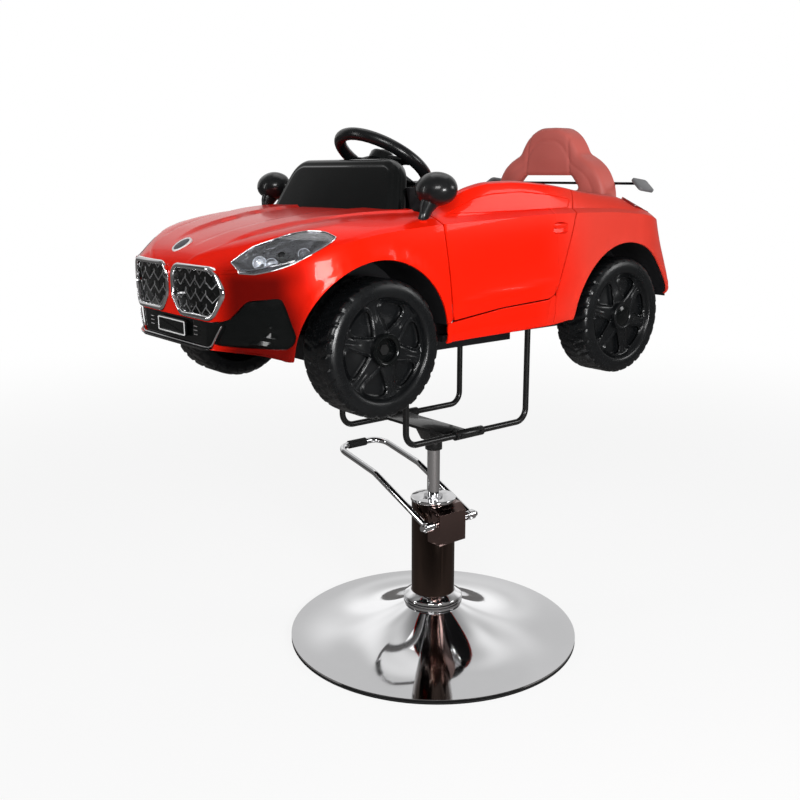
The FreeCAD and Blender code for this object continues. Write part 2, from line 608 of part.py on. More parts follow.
def smooth(table):
    # monotone cubic through the pairs of a share table
    xs = [pair[0] for pair in table]
    ys = [pair[1] for pair in table]
    steps = [(ys[i + 1] - ys[i]) / (xs[i + 1] - xs[i]) for i in range(len(xs) - 1)]
    slopes = [steps[0]]
    for before, after in zip(steps, steps[1:]):
        slopes.append(0 if before * after <= 0 else 2 * before * after / (before + after))
    slopes.append(steps[-1])

    def at(x):
        if x <= xs[0]:
            return ys[0]
        if x >= xs[-1]:
            return ys[-1]
        i = max(k for k in range(len(steps)) if xs[k] <= x)
        gap = xs[i + 1] - xs[i]
        t = (x - xs[i]) / gap
        return ((2 * t ** 3 - 3 * t ** 2 + 1) * ys[i] + (t ** 3 - 2 * t ** 2 + t) * gap * slopes[i]
                + (3 * t ** 2 - 2 * t ** 3) * ys[i + 1] + (t ** 3 - t ** 2) * gap * slopes[i + 1])
    return at


crown = smooth(CROWN_SHARES)
belt_height = smooth(BELT_HEIGHT_SHARES)
belt_width = smooth(BELT_WIDTH_SHARES)
shoulder_height = smooth(SHOULDER_HEIGHT_SHARES)
ledge_rise = smooth(LEDGE_RISE_SHARES)
ledge_width = smooth(LEDGE_WIDTH_SHARES)
bottom = smooth(BOTTOM_SHARES)
crease_width = smooth(CREASE_WIDTH_SHARES)


def plan_share(share, tail_taper):
    front = min(1, share / NOSE_TAPER_SHARE)
    rear = min(1, (1 - share) / tail_taper)
    return (1 - (1 - front) ** 2) ** (1 / 3) * (1 - (1 - rear) ** 2.2) ** (1 / 3.2)


def section_points(share, inset, drop):
    high = (v.body_half_width - inset) * plan_share(share, TAIL_TAPER_HIGH_SHARE)
    low = (v.body_half_width - inset) * plan_share(share, TAIL_TAPER_LOW_SHARE)

    def rise(height_share):
        return v.sill_height + v.body_height * height_share

    foot = rise(bottom(share))
    low_height = foot + (rise(LOW_HEIGHT_SHARE) - foot) * CREASE_MIX_SHARE
    shoulder = rise(shoulder_height(share))
    ledge = rise(shoulder_height(share) + ledge_rise(share))
    crease = rise(belt_height(share) * CREASE_MIX_SHARE + crown(share) * (1 - CREASE_MIX_SHARE))
    return ((low * SIDE_FOOT_SHARE, foot - drop), (low * SIDE_LOW_SHARE, low_height),
            ((low + high) / 2, rise(WAIST_HEIGHT_SHARE)), (high * SIDE_LOW_SHARE, shoulder - inset / 3),
            (high * ledge_width(share), ledge - inset * 2 / 3),
            (high * belt_width(share), rise(belt_height(share)) - inset),
            (high * crease_width(share), crease - inset), (0, rise(crown(share)) - inset))


def spline(points):
    line = Part.BSplineCurve()
    line.interpolate(Points=points, Parameters=[i / (len(points) - 1) for i in range(len(points))])
    return line.toShape()


def station_x(share):
    return -v.nose_place + v.body_length * share


def section_wire(share, inset, drop):
    x = station_x(share)
    if share < NOSE_TAPER_SHARE:
        x += inset
    if share > 1 - TAIL_TAPER_LOW_SHARE:
        x -= inset
    points = section_points(share, inset, drop)
    right = [Vector(x, y, z) for y, z in points]
    left = [Vector(x, -y, z) for y, z in points]

    def shoulder_line(ledge, belt):
        side = math.copysign(v.panel_swell, ledge.y)
        return spline([ledge, (ledge + belt) / 2 + Vector(0, side, v.panel_swell / 2), belt])

    def hood_line(belt, crease):
        return spline([belt, (belt + crease) / 2 + Vector(0, 0, v.panel_swell), crease])

    edges = [Part.LineSegment(left[0], right[0]).toShape(), spline(right[0:4]),
             Part.LineSegment(right[3], right[4]).toShape(), shoulder_line(right[4], right[5]),
             hood_line(right[5], right[6]), spline([right[6], right[7], left[6]]),
             hood_line(left[5], left[6]), shoulder_line(left[4], left[5]),
             Part.LineSegment(left[4], left[3]).toShape(), spline(left[3::-1])]
    return Part.Wire(edges)


def body_solid(inset, drop):
    return Part.makeLoft([section_wire(share, inset, drop) for share in STATION_SHARES], True, False, False)


outer_form = body_solid(0, 0)
inner_form = body_solid(v.skin_thickness, v.skin_open_drop)
deep_form = body_solid(2 * v.skin_thickness, v.skin_open_drop)
skin = outer_form.cut(inner_form)
backing = inner_form.cut(deep_form)

# Door outline seen from the side, as places along the car and heights in shares of the body form.
DOOR_FRONT_SHARES = ((.345, 1.2), (.345, .783), (.353, .737), (.3765, .126))
DOOR_FOOT_SHARES = ((.486, .172), (.605, .195))
DOOR_REAR_SHARES = ((.6225, .237), (.6705, .775), (.679, .908), (.683, 1.2))


def side_point(pair, back=0, up=0):
    return Vector(station_x(pair[0]) + back, -v.far_reach, v.sill_height + v.body_height * pair[1] + up)


def side_prism(points):
    return polygon_prism(points, Vector(0, 2 * v.far_reach, 0))


def door_outline_prism(gap):
    # the door seen from the side, smaller than its opening by the gap all round
    return side_prism([side_point(pair, gap) for pair in DOOR_FRONT_SHARES[:3]]
                      + [side_point(DOOR_FRONT_SHARES[3], gap, gap)]
                      + [side_point(pair, 0, gap) for pair in DOOR_FOOT_SHARES]
                      + [side_point(pair, -gap) for pair in DOOR_REAR_SHARES])


door_prism = door_outline_prism(v.panel_gap)
seam_foot = Vector(-v.sill_seam_place, -v.far_reach, v.sill_height - v.far_reach / 2)
seam_top = Vector(-v.sill_seam_place, -v.far_reach, side_point(DOOR_FRONT_SHARES[3]).z)
front_prism = side_prism([Vector(-2 * v.far_reach, -v.far_reach, seam_foot.z), seam_foot, seam_top,
                          side_point(DOOR_FRONT_SHARES[3]), side_point(DOOR_FRONT_SHARES[2]),
                          side_point(DOOR_FRONT_SHARES[1]), side_point(DOOR_FRONT_SHARES[0]),
                          Vector(-2 * v.far_reach, -v.far_reach, side_point(DOOR_FRONT_SHARES[0]).z)])
rear_foot = Vector(side_point(DOOR_REAR_SHARES[0]).x, -v.far_reach, seam_foot.z)
rear_prism = side_prism([rear_foot] + [side_point(pair) for pair in DOOR_REAR_SHARES]
                        + [Vector(2 * v.far_reach, -v.far_reach, side_point(DOOR_REAR_SHARES[3]).z),
                           Vector(2 * v.far_reach, -v.far_reach, rear_foot.z)])
sill_front_x = -v.sill_seam_place + v.joint_gap
sill_prism = side_prism([Vector(sill_front_x, -v.far_reach, seam_foot.z),
                         Vector(sill_front_x, -v.far_reach, seam_top.z - v.joint_gap),
                         side_point(DOOR_FRONT_SHARES[3], 0, -v.joint_gap)]
                        + [side_point(pair) for pair in DOOR_FOOT_SHARES]
                        + [side_point(DOOR_REAR_SHARES[0], -v.joint_gap),
                           rear_foot - Vector(v.joint_gap, 0, 0)])


def arch_cylinders(radius):
    tools = []
    for x in (-v.front_axle_place - v.front_arch_offset, v.rear_axle_place + v.rear_arch_offset):
        for side in (-1, 1):
            start = Vector(x, side * v.liner_inner_place, v.wheel_height)
            end = Vector(x, side * v.far_reach, v.wheel_height)
            tools.append(cylinder_shape(radius, start, end))
    return Part.makeCompound(tools)


arch_tool = arch_cylinders(v.arch_radius)


def cockpit_tool():
    low = v.tub_top - v.cockpit_cut_drop
    corners = [Vector(-v.cockpit_front, -v.cockpit_half_width, low),
               Vector(v.cockpit_back, -v.cockpit_half_width, low),
               Vector(v.cockpit_back, v.cockpit_half_width, low),
               Vector(-v.cockpit_front, v.cockpit_half_width, low)]
    outline = rounded_outline(corners, v.cockpit_corner)
    return Part.Face(outline).extrude(Vector(0, 0, v.far_reach))


# Lamp and vent outlines as shares along the car, across its half width and up its height.
LAMP_PLAN_SHARES = ((.032, .573), (.062, .618), (.087, .683), (.117, .729), (.138, .771), (.154, .832),
                    (.161, .916))
LAMP_SIDE_SHARES = ((.161, .687), (.142, .649), (.117, .603), (.090, .546), (.067, .511), (.047, .489),
                    (.032, .492))
VENT_SHARES = ((.007, .070), (.085, .060), (.093, .122), (.0814, .282), (.0755, .359), (.038, .340),
               (.0216, .2175), (.007, .200))


def shrunk(points, margin):
    # the outline drawn in towards its middle
    middle = sum(points, Vector()) * (1 / len(points))
    return [point + (middle - point).normalize() * margin for point in points]


def lamp_prism(side, margin):
    inner = [Vector(station_x(along), side * v.body_half_width * across, v.sill_height)
             for along, across in LAMP_PLAN_SHARES]
    outer = [Vector(inner[-1].x, side * v.far_reach, v.sill_height),
             Vector(inner[0].x, side * v.far_reach, v.sill_height)]
    plan_points = [point + Vector(0, side * margin, 0) for point in inner] + outer
    low = [Vector(station_x(along), 0, v.sill_height + v.body_height * up + margin)
           for along, up in LAMP_SIDE_SHARES]
    high = [Vector(low[-1].x + margin, 0, v.far_reach * 2), Vector(low[0].x - margin, 0, v.far_reach * 2)]
    low = [Vector(low[0].x - margin, 0, low[0].z)] + low[1:-1] + [Vector(low[-1].x + margin, 0, low[-1].z)]
    above = polygon_prism(plan_points, Vector(0, 0, v.far_reach))
    return above.common(polygon_prism(low + high, Vector(0, side * v.far_reach, 0)))


lamp_holes = [lamp_prism(side, 0) for side in (-1, 1)]


def lip_prism(margin):
    points = [Vector(-v.far_reach, -v.lip_bottom_half + margin, v.lip_bottom + margin),
              Vector(-v.far_reach, v.lip_bottom_half - margin, v.lip_bottom + margin),
              Vector(-v.far_reach, v.lip_top_half - margin, v.lip_top - margin),
              Vector(-v.far_reach, -v.lip_top_half + margin, v.lip_top - margin)]
    return polygon_prism(points, Vector(v.far_reach - v.nose_place + v.lip_depth, 0, 0))


def vent_prism(side, margin):
    points = [Vector(station_x(along), side * v.vent_half_width, v.sill_height + v.body_height * up)
              for along, up in VENT_SHARES]
    return polygon_prism(shrunk(points, margin), Vector(0, side * v.far_reach, 0))


GRILLE_SHARES = ((0, 1), (.87, 1), (1, .52), (.82, 0), (.17, 0), (0, .34))


def grille_prism(side, inset, start, end):
    # the kidney outline of a grille, drawn in by the inset, as a bar that follows the swept nose
    wide = v.grille_outer - v.grille_inner
    tall = v.grille_top - v.grille_bottom
    middle = Vector(0, wide / 2, tall / 2)
    corners = []
    for across, up in GRILLE_SHARES:
        corner = Vector(0, wide * across, tall * up)
        away = (middle - corner).normalize()
        corners.append(corner + away * inset * math.sqrt(2) + Vector(start, 0, 0))
    bar = Part.Face(rounded_outline(corners, v.grille_corner - inset)).extrude(Vector(end - start, 0, 0))
    return grille_placed(bar, side)


def grille_placed(shape, side):
    shape.rotate(Vector(), Vector(0, 0, 1), -v.grille_sweep)
    shape.translate(Vector(-v.nose_place - v.grille_stand_off, v.grille_inner, v.grille_bottom))
    return shape if side > 0 else mirrored(shape)


nose_holes = [grille_prism(side, -v.grille_gap, -v.cut_overrun, v.nose_hole_depth) for side in (-1, 1)]
lip_hole = lip_prism(0)


def tail_hole(side):
    low, high = sorted((side * v.tail_lamp_inner, side * v.far_reach))
    return box_shape(v.tail_lamp_front, v.far_reach, low, high, v.tail_lamp_bottom, v.tail_lamp_top)


tail_holes = [tail_hole(side) for side in (-1, 1)]


def biggest(shape):
    return max(shape.Solids, key=lambda solid: solid.Volume)


def screen_prism(inset):
    # the windscreen block, leaning back; an inset gives the room inside its walls
    low = -v.screen_sink
    corners = [Vector(0, -v.screen_bottom_half + inset, low), Vector(0, v.screen_bottom_half - inset, low),
               Vector(0, v.screen_top_half - inset, v.screen_slant_length - inset),
               Vector(0, -v.screen_top_half + inset, v.screen_slant_length - inset)]
    face = Part.Face(rounded_outline(corners, v.screen_corner - inset))
    prism = face.extrude(Vector(v.screen_return, 0, 0))
    prism.rotate(Vector(), Vector(0, 1, 0), v.screen_lean)
    prism.translate(Vector(-v.screen_base_place, 0, v.screen_base_height))
    return prism


def door_pins():
    pins = []
    for side in (-1, 1):
        foot = Vector(-v.door_hinge_place, side * v.door_hinge_offset,
                      v.door_shelf_height + v.skin_thickness)
        pins.append(cylinder_shape(v.door_pin_radius, foot, Vector(foot.x, foot.y, v.door_pin_top)))
    return Part.makeCompound(pins)


pin_tool = door_pins()
front_shape = skin.common(front_prism).cut(arch_tool).cut(cockpit_tool())
front_tools = lamp_holes + nose_holes + [vent_prism(side, 0) for side in (-1, 1)]
for tool in front_tools + [lip_hole, screen_prism(0), pin_tool]:
    front_shape = front_shape.cut(tool)
front_item = name_node(feature("FrontBody", biggest(front_shape)), "front_body")
rear_shape = skin.common(rear_prism).cut(arch_tool).cut(cockpit_tool())
for tool in tail_holes:
    rear_shape = rear_shape.cut(tool)
name_node(feature("RearBody", biggest(rear_shape)), "rear_body")


def sill_panels():
    panels = skin.common(sill_prism).cut(arch_tool)
    shelf = outer_form.common(box_shape(sill_front_x, rear_foot.x - v.joint_gap, -v.far_reach, v.far_reach,
                                        v.door_shelf_height, v.door_shelf_height + v.skin_thickness))
    shelf = shelf.cut(box_shape(-v.far_reach, v.far_reach, -v.sill_chassis_half_width + v.chassis_wall,
                                v.sill_chassis_half_width - v.chassis_wall, 0, v.far_reach * 2))
    shelf = shelf.cut(arch_tool)
    return Part.makeCompound(panels.fuse(shelf).cut(pin_tool).removeSplitter().Solids)


sill_item = name_node(feature("SillPanels", sill_panels()), "sill_panels")


def door_jamb():
    # what stands beside the left hinge: the edges of the front body and of the sill
    reach = 3 * v.door_tube_radius
    near = box_shape(-v.door_hinge_place - 2 * reach, -v.door_hinge_place + reach, -v.far_reach,
                     -v.door_slab_half_width, 0, 2 * v.far_reach)
    return near.common(front_item.Shape.fuse(sill_item.Shape))


def swept_clear(slab):
    # the door's front edge is rounded off so that it turns past the jamb
    jamb = door_jamb().translated(Vector(2 * v.contact_gap, 0, 0))
    pivot = Vector(-v.door_hinge_place, -v.door_hinge_offset, 0)
    for step in range(int(v.door_sweep_steps)):
        turned_jamb = jamb.copy()
        turned_jamb.rotate(pivot, Vector(0, 0, 1), v.door_swing * (step + 1) / v.door_sweep_steps)
        slab = slab.cut(turned_jamb)
    return biggest(slab)


def left_door():
    wall = v.skin_thickness
    room = box_shape(-v.far_reach, v.far_reach, -v.far_reach, -v.door_slab_half_width, 0, v.far_reach * 2)
    inner_room = room.copy()
    inner_room.translate(Vector(0, -wall, 0))
    slab = outer_form.common(door_prism).common(room)
    hollow_prism = door_outline_prism(v.panel_gap + wall)
    slab = biggest(slab.cut(inner_form.common(hollow_prism).common(inner_room)))
    foot = Vector(-v.door_hinge_place, -v.door_hinge_offset, v.door_shelf_height)
    boss = cylinder_shape(v.door_tube_radius, foot + Vector(0, 0, wall),
                          Vector(foot.x, foot.y, v.door_pin_top + wall))
    slab = slab.fuse(boss.common(outer_form).common(door_prism))
    slab = slab.cut(cylinder_shape(v.door_pin_radius + v.slide_clearance, foot,
                                   Vector(foot.x, foot.y, v.door_pin_top + v.contact_gap)))
    return swept_clear(biggest(slab))


left_door_shape = left_door()
name_node(feature("DoorLeft", left_door_shape), "door_left")
name_node(feature("DoorRight", mirrored(left_door_shape)), "door_right")
name_node(feature("DoorPins", pin_tool), "door_pins")

# Chassis tray, cockpit tub and arch liners.


def chassis_outer(inset):
    half = v.chassis_half_width - inset
    wide = v.sill_chassis_half_width - inset
    front_box = box_shape(-v.chassis_front + inset, v.chassis_step - inset, -half, half,
                          v.chassis_bottom + inset, v.chassis_top)
    rear_box = box_shape(0, v.chassis_back - inset, -half, half, v.chassis_rear_bottom + inset, v.chassis_top)
    wide_box = box_shape(-v.sill_chassis_front + inset, v.sill_chassis_back - inset, -wide, wide,
                         v.sill_chassis_bottom + inset, v.chassis_top)
    return front_box.fuse(rear_box).fuse(wide_box)


def beam_room(reach):
    return box_shape(-v.front_axle_place - v.beam_half_width, -v.front_axle_place + v.beam_half_width,
                     -reach, reach, v.wheel_height - v.beam_half_height, v.wheel_height + v.beam_half_height)


def rear_axle_bar(radius):
    half = v.wheel_face - v.axle_tip_depth
    return cylinder_shape(radius, Vector(v.rear_axle_place, -half, v.wheel_height),
                          Vector(v.rear_axle_place, half, v.wheel_height))


def chassis_tray():
    tray = chassis_outer(0).cut(chassis_outer(v.chassis_wall))
    return biggest(tray.cut(beam_room(v.far_reach)).cut(rear_axle_bar(v.axle_radius)))


name_node(feature("ChassisTray", chassis_tray()), "chassis_tray")


def column_line(distance):
    # a point on the steering axis, measured down from the ring centre
    lean = math.radians(v.steering_lean)
    return Vector(-v.wheel_hub_front - distance * math.cos(lean), 0,
                  v.steering_height - distance * math.sin(lean))


tub_back = v.seat_back_face - v.contact_gap


def cockpit_tub():
    outer = box_shape(-v.tub_front, tub_back, -v.tub_half_width, v.tub_half_width, v.chassis_top, v.tub_top)
    inner = box_shape(-v.tub_front + v.tub_wall, tub_back - v.tub_wall, -v.tub_half_width + v.tub_wall,
                      v.tub_half_width - v.tub_wall, v.chassis_top + v.tub_wall, v.tub_top + v.cut_overrun)
    tub = outer.cut(inner).cut(arch_cylinders(v.arch_radius + v.liner_thickness))
    column_hole = cylinder_shape(v.column_radius * 2, column_line(0), column_line(v.column_length * 2))
    return biggest(tub.cut(column_hole).cut(rear_axle_bar(v.axle_radius)))


name_node(feature("CockpitTub", cockpit_tub()), "cockpit_tub")


def arch_liners():
    liners = []
    for x in (-v.front_axle_place - v.front_arch_offset, v.rear_axle_place + v.rear_arch_offset):
        for side in (-1, 1):
            inner = Vector(x, side * v.liner_inner_place, v.wheel_height)
            outer = Vector(x, side * v.far_reach, v.wheel_height)
            wall = Vector(0, side * v.liner_thickness, 0)
            liner = cylinder_shape(v.arch_radius + v.liner_thickness, inner, outer)
            liner = liner.cut(cylinder_shape(v.arch_radius, inner + wall, outer))
            liner = liner.cut(box_shape(-v.far_reach, v.far_reach, -v.far_reach, v.far_reach,
                                        0, v.liner_bottom))
            liners.append(biggest(liner.common(inner_form).cut(vent_prism(side, 0))))
    return Part.makeCompound(liners)


name_node(feature("ArchLiners", arch_liners()), "arch_liners")

# Front beam, knuckles, tie rod and rear axle.


def front_beam():
    beam = beam_room(v.kingpin_place - v.kingpin_radius)
    for side in (-1, 1):
        low = Vector(-v.front_axle_place, side * v.kingpin_place, v.wheel_height - v.eye_height / 2)
        high = low + Vector(0, 0, v.eye_height)
        beam = beam.fuse(cylinder_shape(v.eye_radius, low, high))
    for side in (-1, 1):
        low = Vector(-v.front_axle_place, side * v.kingpin_place, v.wheel_height - v.eye_height)
        high = low + Vector(0, 0, 2 * v.eye_height)
        beam = beam.cut(cylinder_shape(v.kingpin_radius + v.slide_clearance, low, high))
    return beam.removeSplitter()


name_node(feature("FrontBeam", front_beam()), "front_beam")


def nut(x, y, side):
    inner = Vector(x, y, v.wheel_height)
    outer = inner - Vector(0, side * v.axle_nut_width, 0)
    corners = [inner + Vector(math.cos(math.pi * k / 3), 0, math.sin(math.pi * k / 3)) * v.axle_nut_radius
               for k in range(6)]
    return polygon_prism(corners, outer - inner).cut(cylinder_shape(v.axle_radius, inner, outer))


def knuckle(side):
    x = -v.front_axle_place
    pivot = Vector(x, side * v.kingpin_place, v.wheel_height)
    half = v.eye_height / 2 + v.knuckle_gap
    top = half + v.knuckle_plate
    body = cylinder_shape(v.kingpin_radius, pivot - Vector(0, 0, top), pivot + Vector(0, 0, top))
    plate_y = side * (v.knuckle_plate_place + v.knuckle_plate)
    for low, high in ((-top, -half), (half, top)):
        body = body.fuse(cylinder_shape(v.knuckle_disc_radius, pivot + Vector(0, 0, low),
                                        pivot + Vector(0, 0, high)))
        body = body.fuse(box_shape(x - v.knuckle_half_width, x + v.knuckle_half_width,
                                   min(pivot.y, plate_y), max(pivot.y, plate_y),
                                   v.wheel_height + low, v.wheel_height + high))
    near = side * v.knuckle_plate_place
    body = body.fuse(box_shape(x - v.knuckle_half_width, x + v.knuckle_half_width, min(near, plate_y),
                               max(near, plate_y), v.wheel_height - top, v.wheel_height + top))
    tip = side * (v.wheel_face - v.axle_tip_depth)
    body = body.fuse(cylinder_shape(v.axle_radius, Vector(x, near, v.wheel_height),
                                    Vector(x, tip, v.wheel_height)))
    arm_end = x + v.steering_arm
    body = body.fuse(box_shape(x, arm_end, pivot.y - v.arm_width / 2, pivot.y + v.arm_width / 2,
                               v.wheel_height + half, v.wheel_height + top))
    body = body.fuse(cylinder_shape(v.arm_width / 2, Vector(arm_end, pivot.y, v.wheel_height + half),
                                    Vector(arm_end, pivot.y, v.wheel_height + top)))
    body = body.fuse(cylinder_shape(v.tie_pin_radius, Vector(arm_end, pivot.y, v.wheel_height + half),
                                    Vector(arm_end, pivot.y, v.wheel_height + top + v.tie_pin_height)))
    return body.removeSplitter()


for side, word in ((-1, "left"), (1, "right")):
    stub_nut = nut(-v.front_axle_place, side * (v.wheel_face - v.axle_tip_depth), side)
    name_node(feature("Knuckle" + word, Part.makeCompound([knuckle(side), stub_nut])), "knuckle_" + word)


def axle_nuts(x):
    tip = v.wheel_face - v.axle_tip_depth
    return Part.makeCompound([nut(x, side * tip, side) for side in (-1, 1)])


def tie_rod():
    x = -v.front_axle_place + v.steering_arm
    low = v.wheel_height + v.eye_height / 2 + v.knuckle_gap + v.knuckle_plate + v.contact_gap
    reach = v.kingpin_place + v.tie_rod_half_width
    rod = box_shape(x - v.tie_rod_half_width, x + v.tie_rod_half_width, -reach, reach,
                    low, low + v.tie_rod_thickness)
    wide = v.tie_pin_radius + v.tie_slot_side_clearance
    for side in (-1, 1):
        y = side * v.kingpin_place
        reach_x = v.tie_slot_length_clearance
        for shift in (-reach_x, reach_x):
            rod = rod.cut(cylinder_shape(wide, Vector(x + shift, y, low - v.cut_overrun),
                                         Vector(x + shift, y, low + v.cut_overrun)))
        rod = rod.cut(box_shape(x - reach_x, x + reach_x, y - wide, y + wide,
                                low - v.cut_overrun, low + v.cut_overrun))
    return rod


name_node(feature("TieRod", tie_rod()), "tie_rod")
name_node(feature("RearAxle", rear_axle_bar(v.axle_radius)), "rear_axle")

# Wheels: a moulded tyre and rim in one, with a press-in cap over the axle nut.


SPOKE_WINDOW_SHARE = .72


def wheel_shape():
    width = v.tyre_width
    rim_back = v.rim_dish + v.rim_disc
    bore = v.axle_radius + v.slide_clearance
    side_step = v.rim_lip
    profile = [(bore, v.hub_recess_depth), (v.hub_recess_radius, v.hub_recess_depth),
               (v.hub_recess_radius, -v.hub_boss_rise), (v.hub_boss_radius, -v.hub_boss_rise),
               (v.hub_boss_radius, v.rim_dish), (v.rim_radius - v.rim_wall, v.rim_dish),
               (v.rim_radius - v.rim_wall / 2, side_step), (v.rim_radius, 0), (v.tyre_face_radius, 0),
               (v.tyre_radius - side_step, side_step * 3 / 2), (v.tyre_radius, v.tyre_shoulder),
               (v.tyre_radius, width - v.tyre_shoulder),
               (v.tyre_radius - side_step, width - side_step * 3 / 2),
               (v.tyre_face_radius, width), (v.rim_radius, width), (v.rim_radius - v.rim_wall, width),
               (v.rim_radius - v.rim_wall, rim_back), (v.hub_boss_radius, rim_back),
               (v.hub_boss_radius, v.hub_boss_depth), (bore, v.hub_boss_depth)]
    points = [Vector(r, 0, z) for r, z in profile]
    wheel = Part.Face(Part.makePolygon(points + points[:1])).revolve(Vector(), Vector(0, 0, 1), 360)
    cuts = []
    half = v.tread_groove_width / 2
    for i in range(int(v.tread_count)):
        for start, shift in ((-v.cut_overrun, 0), (width - v.tread_groove_reach, 0.5)):
            block_cut = box_shape(v.tyre_radius - v.tread_groove_depth, v.tyre_radius + v.cut_overrun,
                                  -half, half, start, start + v.tread_groove_reach + v.cut_overrun)
            block_cut.rotate(Vector(), Vector(0, 0, 1), 360 * (i + shift) / v.tread_count)
            cuts.append(block_cut)
    inner = v.hub_boss_radius + 2 * v.rim_wall
    outer = v.rim_radius - 3 * v.rim_wall
    for i in range(int(v.spoke_count)):
        half_angle = math.pi / v.spoke_count * SPOKE_WINDOW_SHARE
        far = Vector(outer * math.cos(half_angle), outer * math.sin(half_angle), 0)
        corners = [Vector(inner, 0, 0), Vector(far.x, -far.y, 0), far]
        pocket = Part.Face(rounded_outline(corners, v.rim_wall * 2))
        pocket = pocket.extrude(Vector(0, 0, v.rim_window_depth * 2))
        pocket.translate(Vector(0, 0, v.rim_dish - v.rim_window_depth))
        pocket.rotate(Vector(), Vector(0, 0, 1), 360 * (i + 0.5) / v.spoke_count)
        cuts.append(pocket)
    crown_radius = v.tyre_radius - v.tread_groove_depth - v.tyre_wall
    hollow = Part.makeCylinder(crown_radius, width - 2 * v.tyre_wall, Vector(0, 0, v.tyre_wall))
    wheel = wheel.cut(hollow.cut(Part.makeCylinder(v.rim_radius, width)))
    wheel = wheel.cut(Part.makeCompound(cuts))
    cap = cylinder_shape(v.hub_recess_radius, Vector(0, 0, -v.hub_boss_rise / 2),
                         Vector(0, 0, v.hub_cap_thickness - v.hub_boss_rise / 2))
    return Part.makeCompound([biggest(wheel), cap])


wheel_model = wheel_shape()
for x, end in ((-v.front_axle_place, "front"), (v.rear_axle_place, "rear")):
    for side, word in ((-1, "left"), (1, "right")):
        wheel = feature("Wheel_%s_%s" % (end, word), wheel_model.copy())
        wheel.Placement = Placement(Vector(x, side * v.wheel_face, v.wheel_height),
                                    Rotation(Vector(1, 0, 0), side * 90))
        name_node(wheel, "wheel_%s_%s" % (end, word))


name_node(feature("AxleNuts", axle_nuts(v.rear_axle_place)), "rear_axle_nuts")

# Windscreen, dashboard, steering and buttons.

screen = screen_prism(0)
screen_room = screen_prism(v.screen_wall)
lean = math.radians(v.screen_lean)
screen_room.translate(Vector(math.cos(lean), 0, -math.sin(lean)) * v.screen_wall)
name_node(feature("Windscreen", biggest(screen.cut(screen_room))), "windscreen")

dash_block = padded("DashBlock", "XZ_Plane", [
    ("-tub_front", "tub_top"), ("-tub_front", "dash_top"), ("-dash_face_back", "dash_top"),
    ("-dash_back", "dash_knee"), ("-dash_back", "tub_top")], "2 * dash_half_width", True)


def dashboard(block_shape):
    bore = cylinder_shape(v.column_radius + v.slide_clearance, column_line(0), column_line(v.column_length))
    reach = button_axis() * v.button_height
    hole = cylinder_shape(v.button_radius + v.slide_clearance, button_spot() - reach, button_spot() + reach)
    wall = v.dash_wall
    pocket = box_shape(-v.tub_front + wall, -v.dash_face_back - wall, -v.dash_half_width + wall,
                       v.dash_half_width - wall, 0, v.dash_top - wall)
    pocket = pocket.cut(cylinder_shape(v.column_radius + 2 * wall, column_line(0),
                                       column_line(v.column_length)))
    return biggest(block_shape.cut(pocket).cut(bore).cut(hole).cut(screen_prism(0)))


def button_axis():
    # square to the slanted dashboard face, towards the driver
    slant = Vector(v.dash_face_back - v.dash_back, 0, v.dash_knee - v.dash_top).normalize()
    return Vector(-slant.z, 0, slant.x)


def button_spot():
    return Vector(-(v.dash_face_back + v.dash_back) / 2, -v.button_place, (v.dash_top + v.dash_knee) / 2)


doc.recompute()
name_node(feature("Dashboard", dashboard(dash_block.Shape)), "dashboard")
button_tip = button_spot() + button_axis() * v.button_rise
button_foot = button_tip - button_axis() * v.button_height
name_node(feature("PowerButton", cylinder_shape(v.button_radius, button_foot, button_tip)), "power_button")


def steering_placed(shape):
    shape.rotate(Vector(), Vector(0, 1, 0), 90 - v.steering_lean)
    shape.translate(column_line(0))
    return shape


def steering_wheel():
    ring = Part.makeTorus(v.steering_ring_radius, v.steering_tube_radius)
    half = v.steering_hub_height / 2
    hub = cylinder_shape(v.steering_hub_radius, Vector(0, 0, -half), Vector(0, 0, half))
    wheel = ring.fuse(hub)
    for angle in (0, 90, 180):
        spoke = box_shape(v.steering_hub_radius / 2, v.steering_ring_radius, -v.steering_spoke_width / 2,
                          v.steering_spoke_width / 2, -v.steering_spoke_thickness / 2,
                          v.steering_spoke_thickness / 2)
        spoke.rotate(Vector(), Vector(0, 0, 1), angle - 90)
        wheel = wheel.fuse(spoke)
    wheel = wheel.cut(cylinder_shape(v.horn_radius + v.slide_clearance, Vector(0, 0, half - v.horn_sink),
                                     Vector(0, 0, half + v.cut_overrun)))
    wheel = wheel.cut(cylinder_shape(v.column_radius, Vector(0, 0, -half * 2), Vector(0, 0, -half / 2)))
    return steering_placed(wheel)


name_node(feature("SteeringWheel", steering_wheel()), "steering_wheel")
column_start = column_line(v.steering_hub_height / 4)
column = cylinder_shape(v.column_radius, column_start, column_line(v.column_length))
name_node(feature("SteeringColumn", column), "steering_column")
horn_low = v.steering_hub_height / 2 - v.horn_sink / 2
name_node(feature("HornButton", steering_placed(
    cylinder_shape(v.horn_radius, Vector(0, 0, horn_low), Vector(0, 0, horn_low + v.horn_height)))),
    "horn_button")

# Lamps, grilles, plate, badge and mirrors.

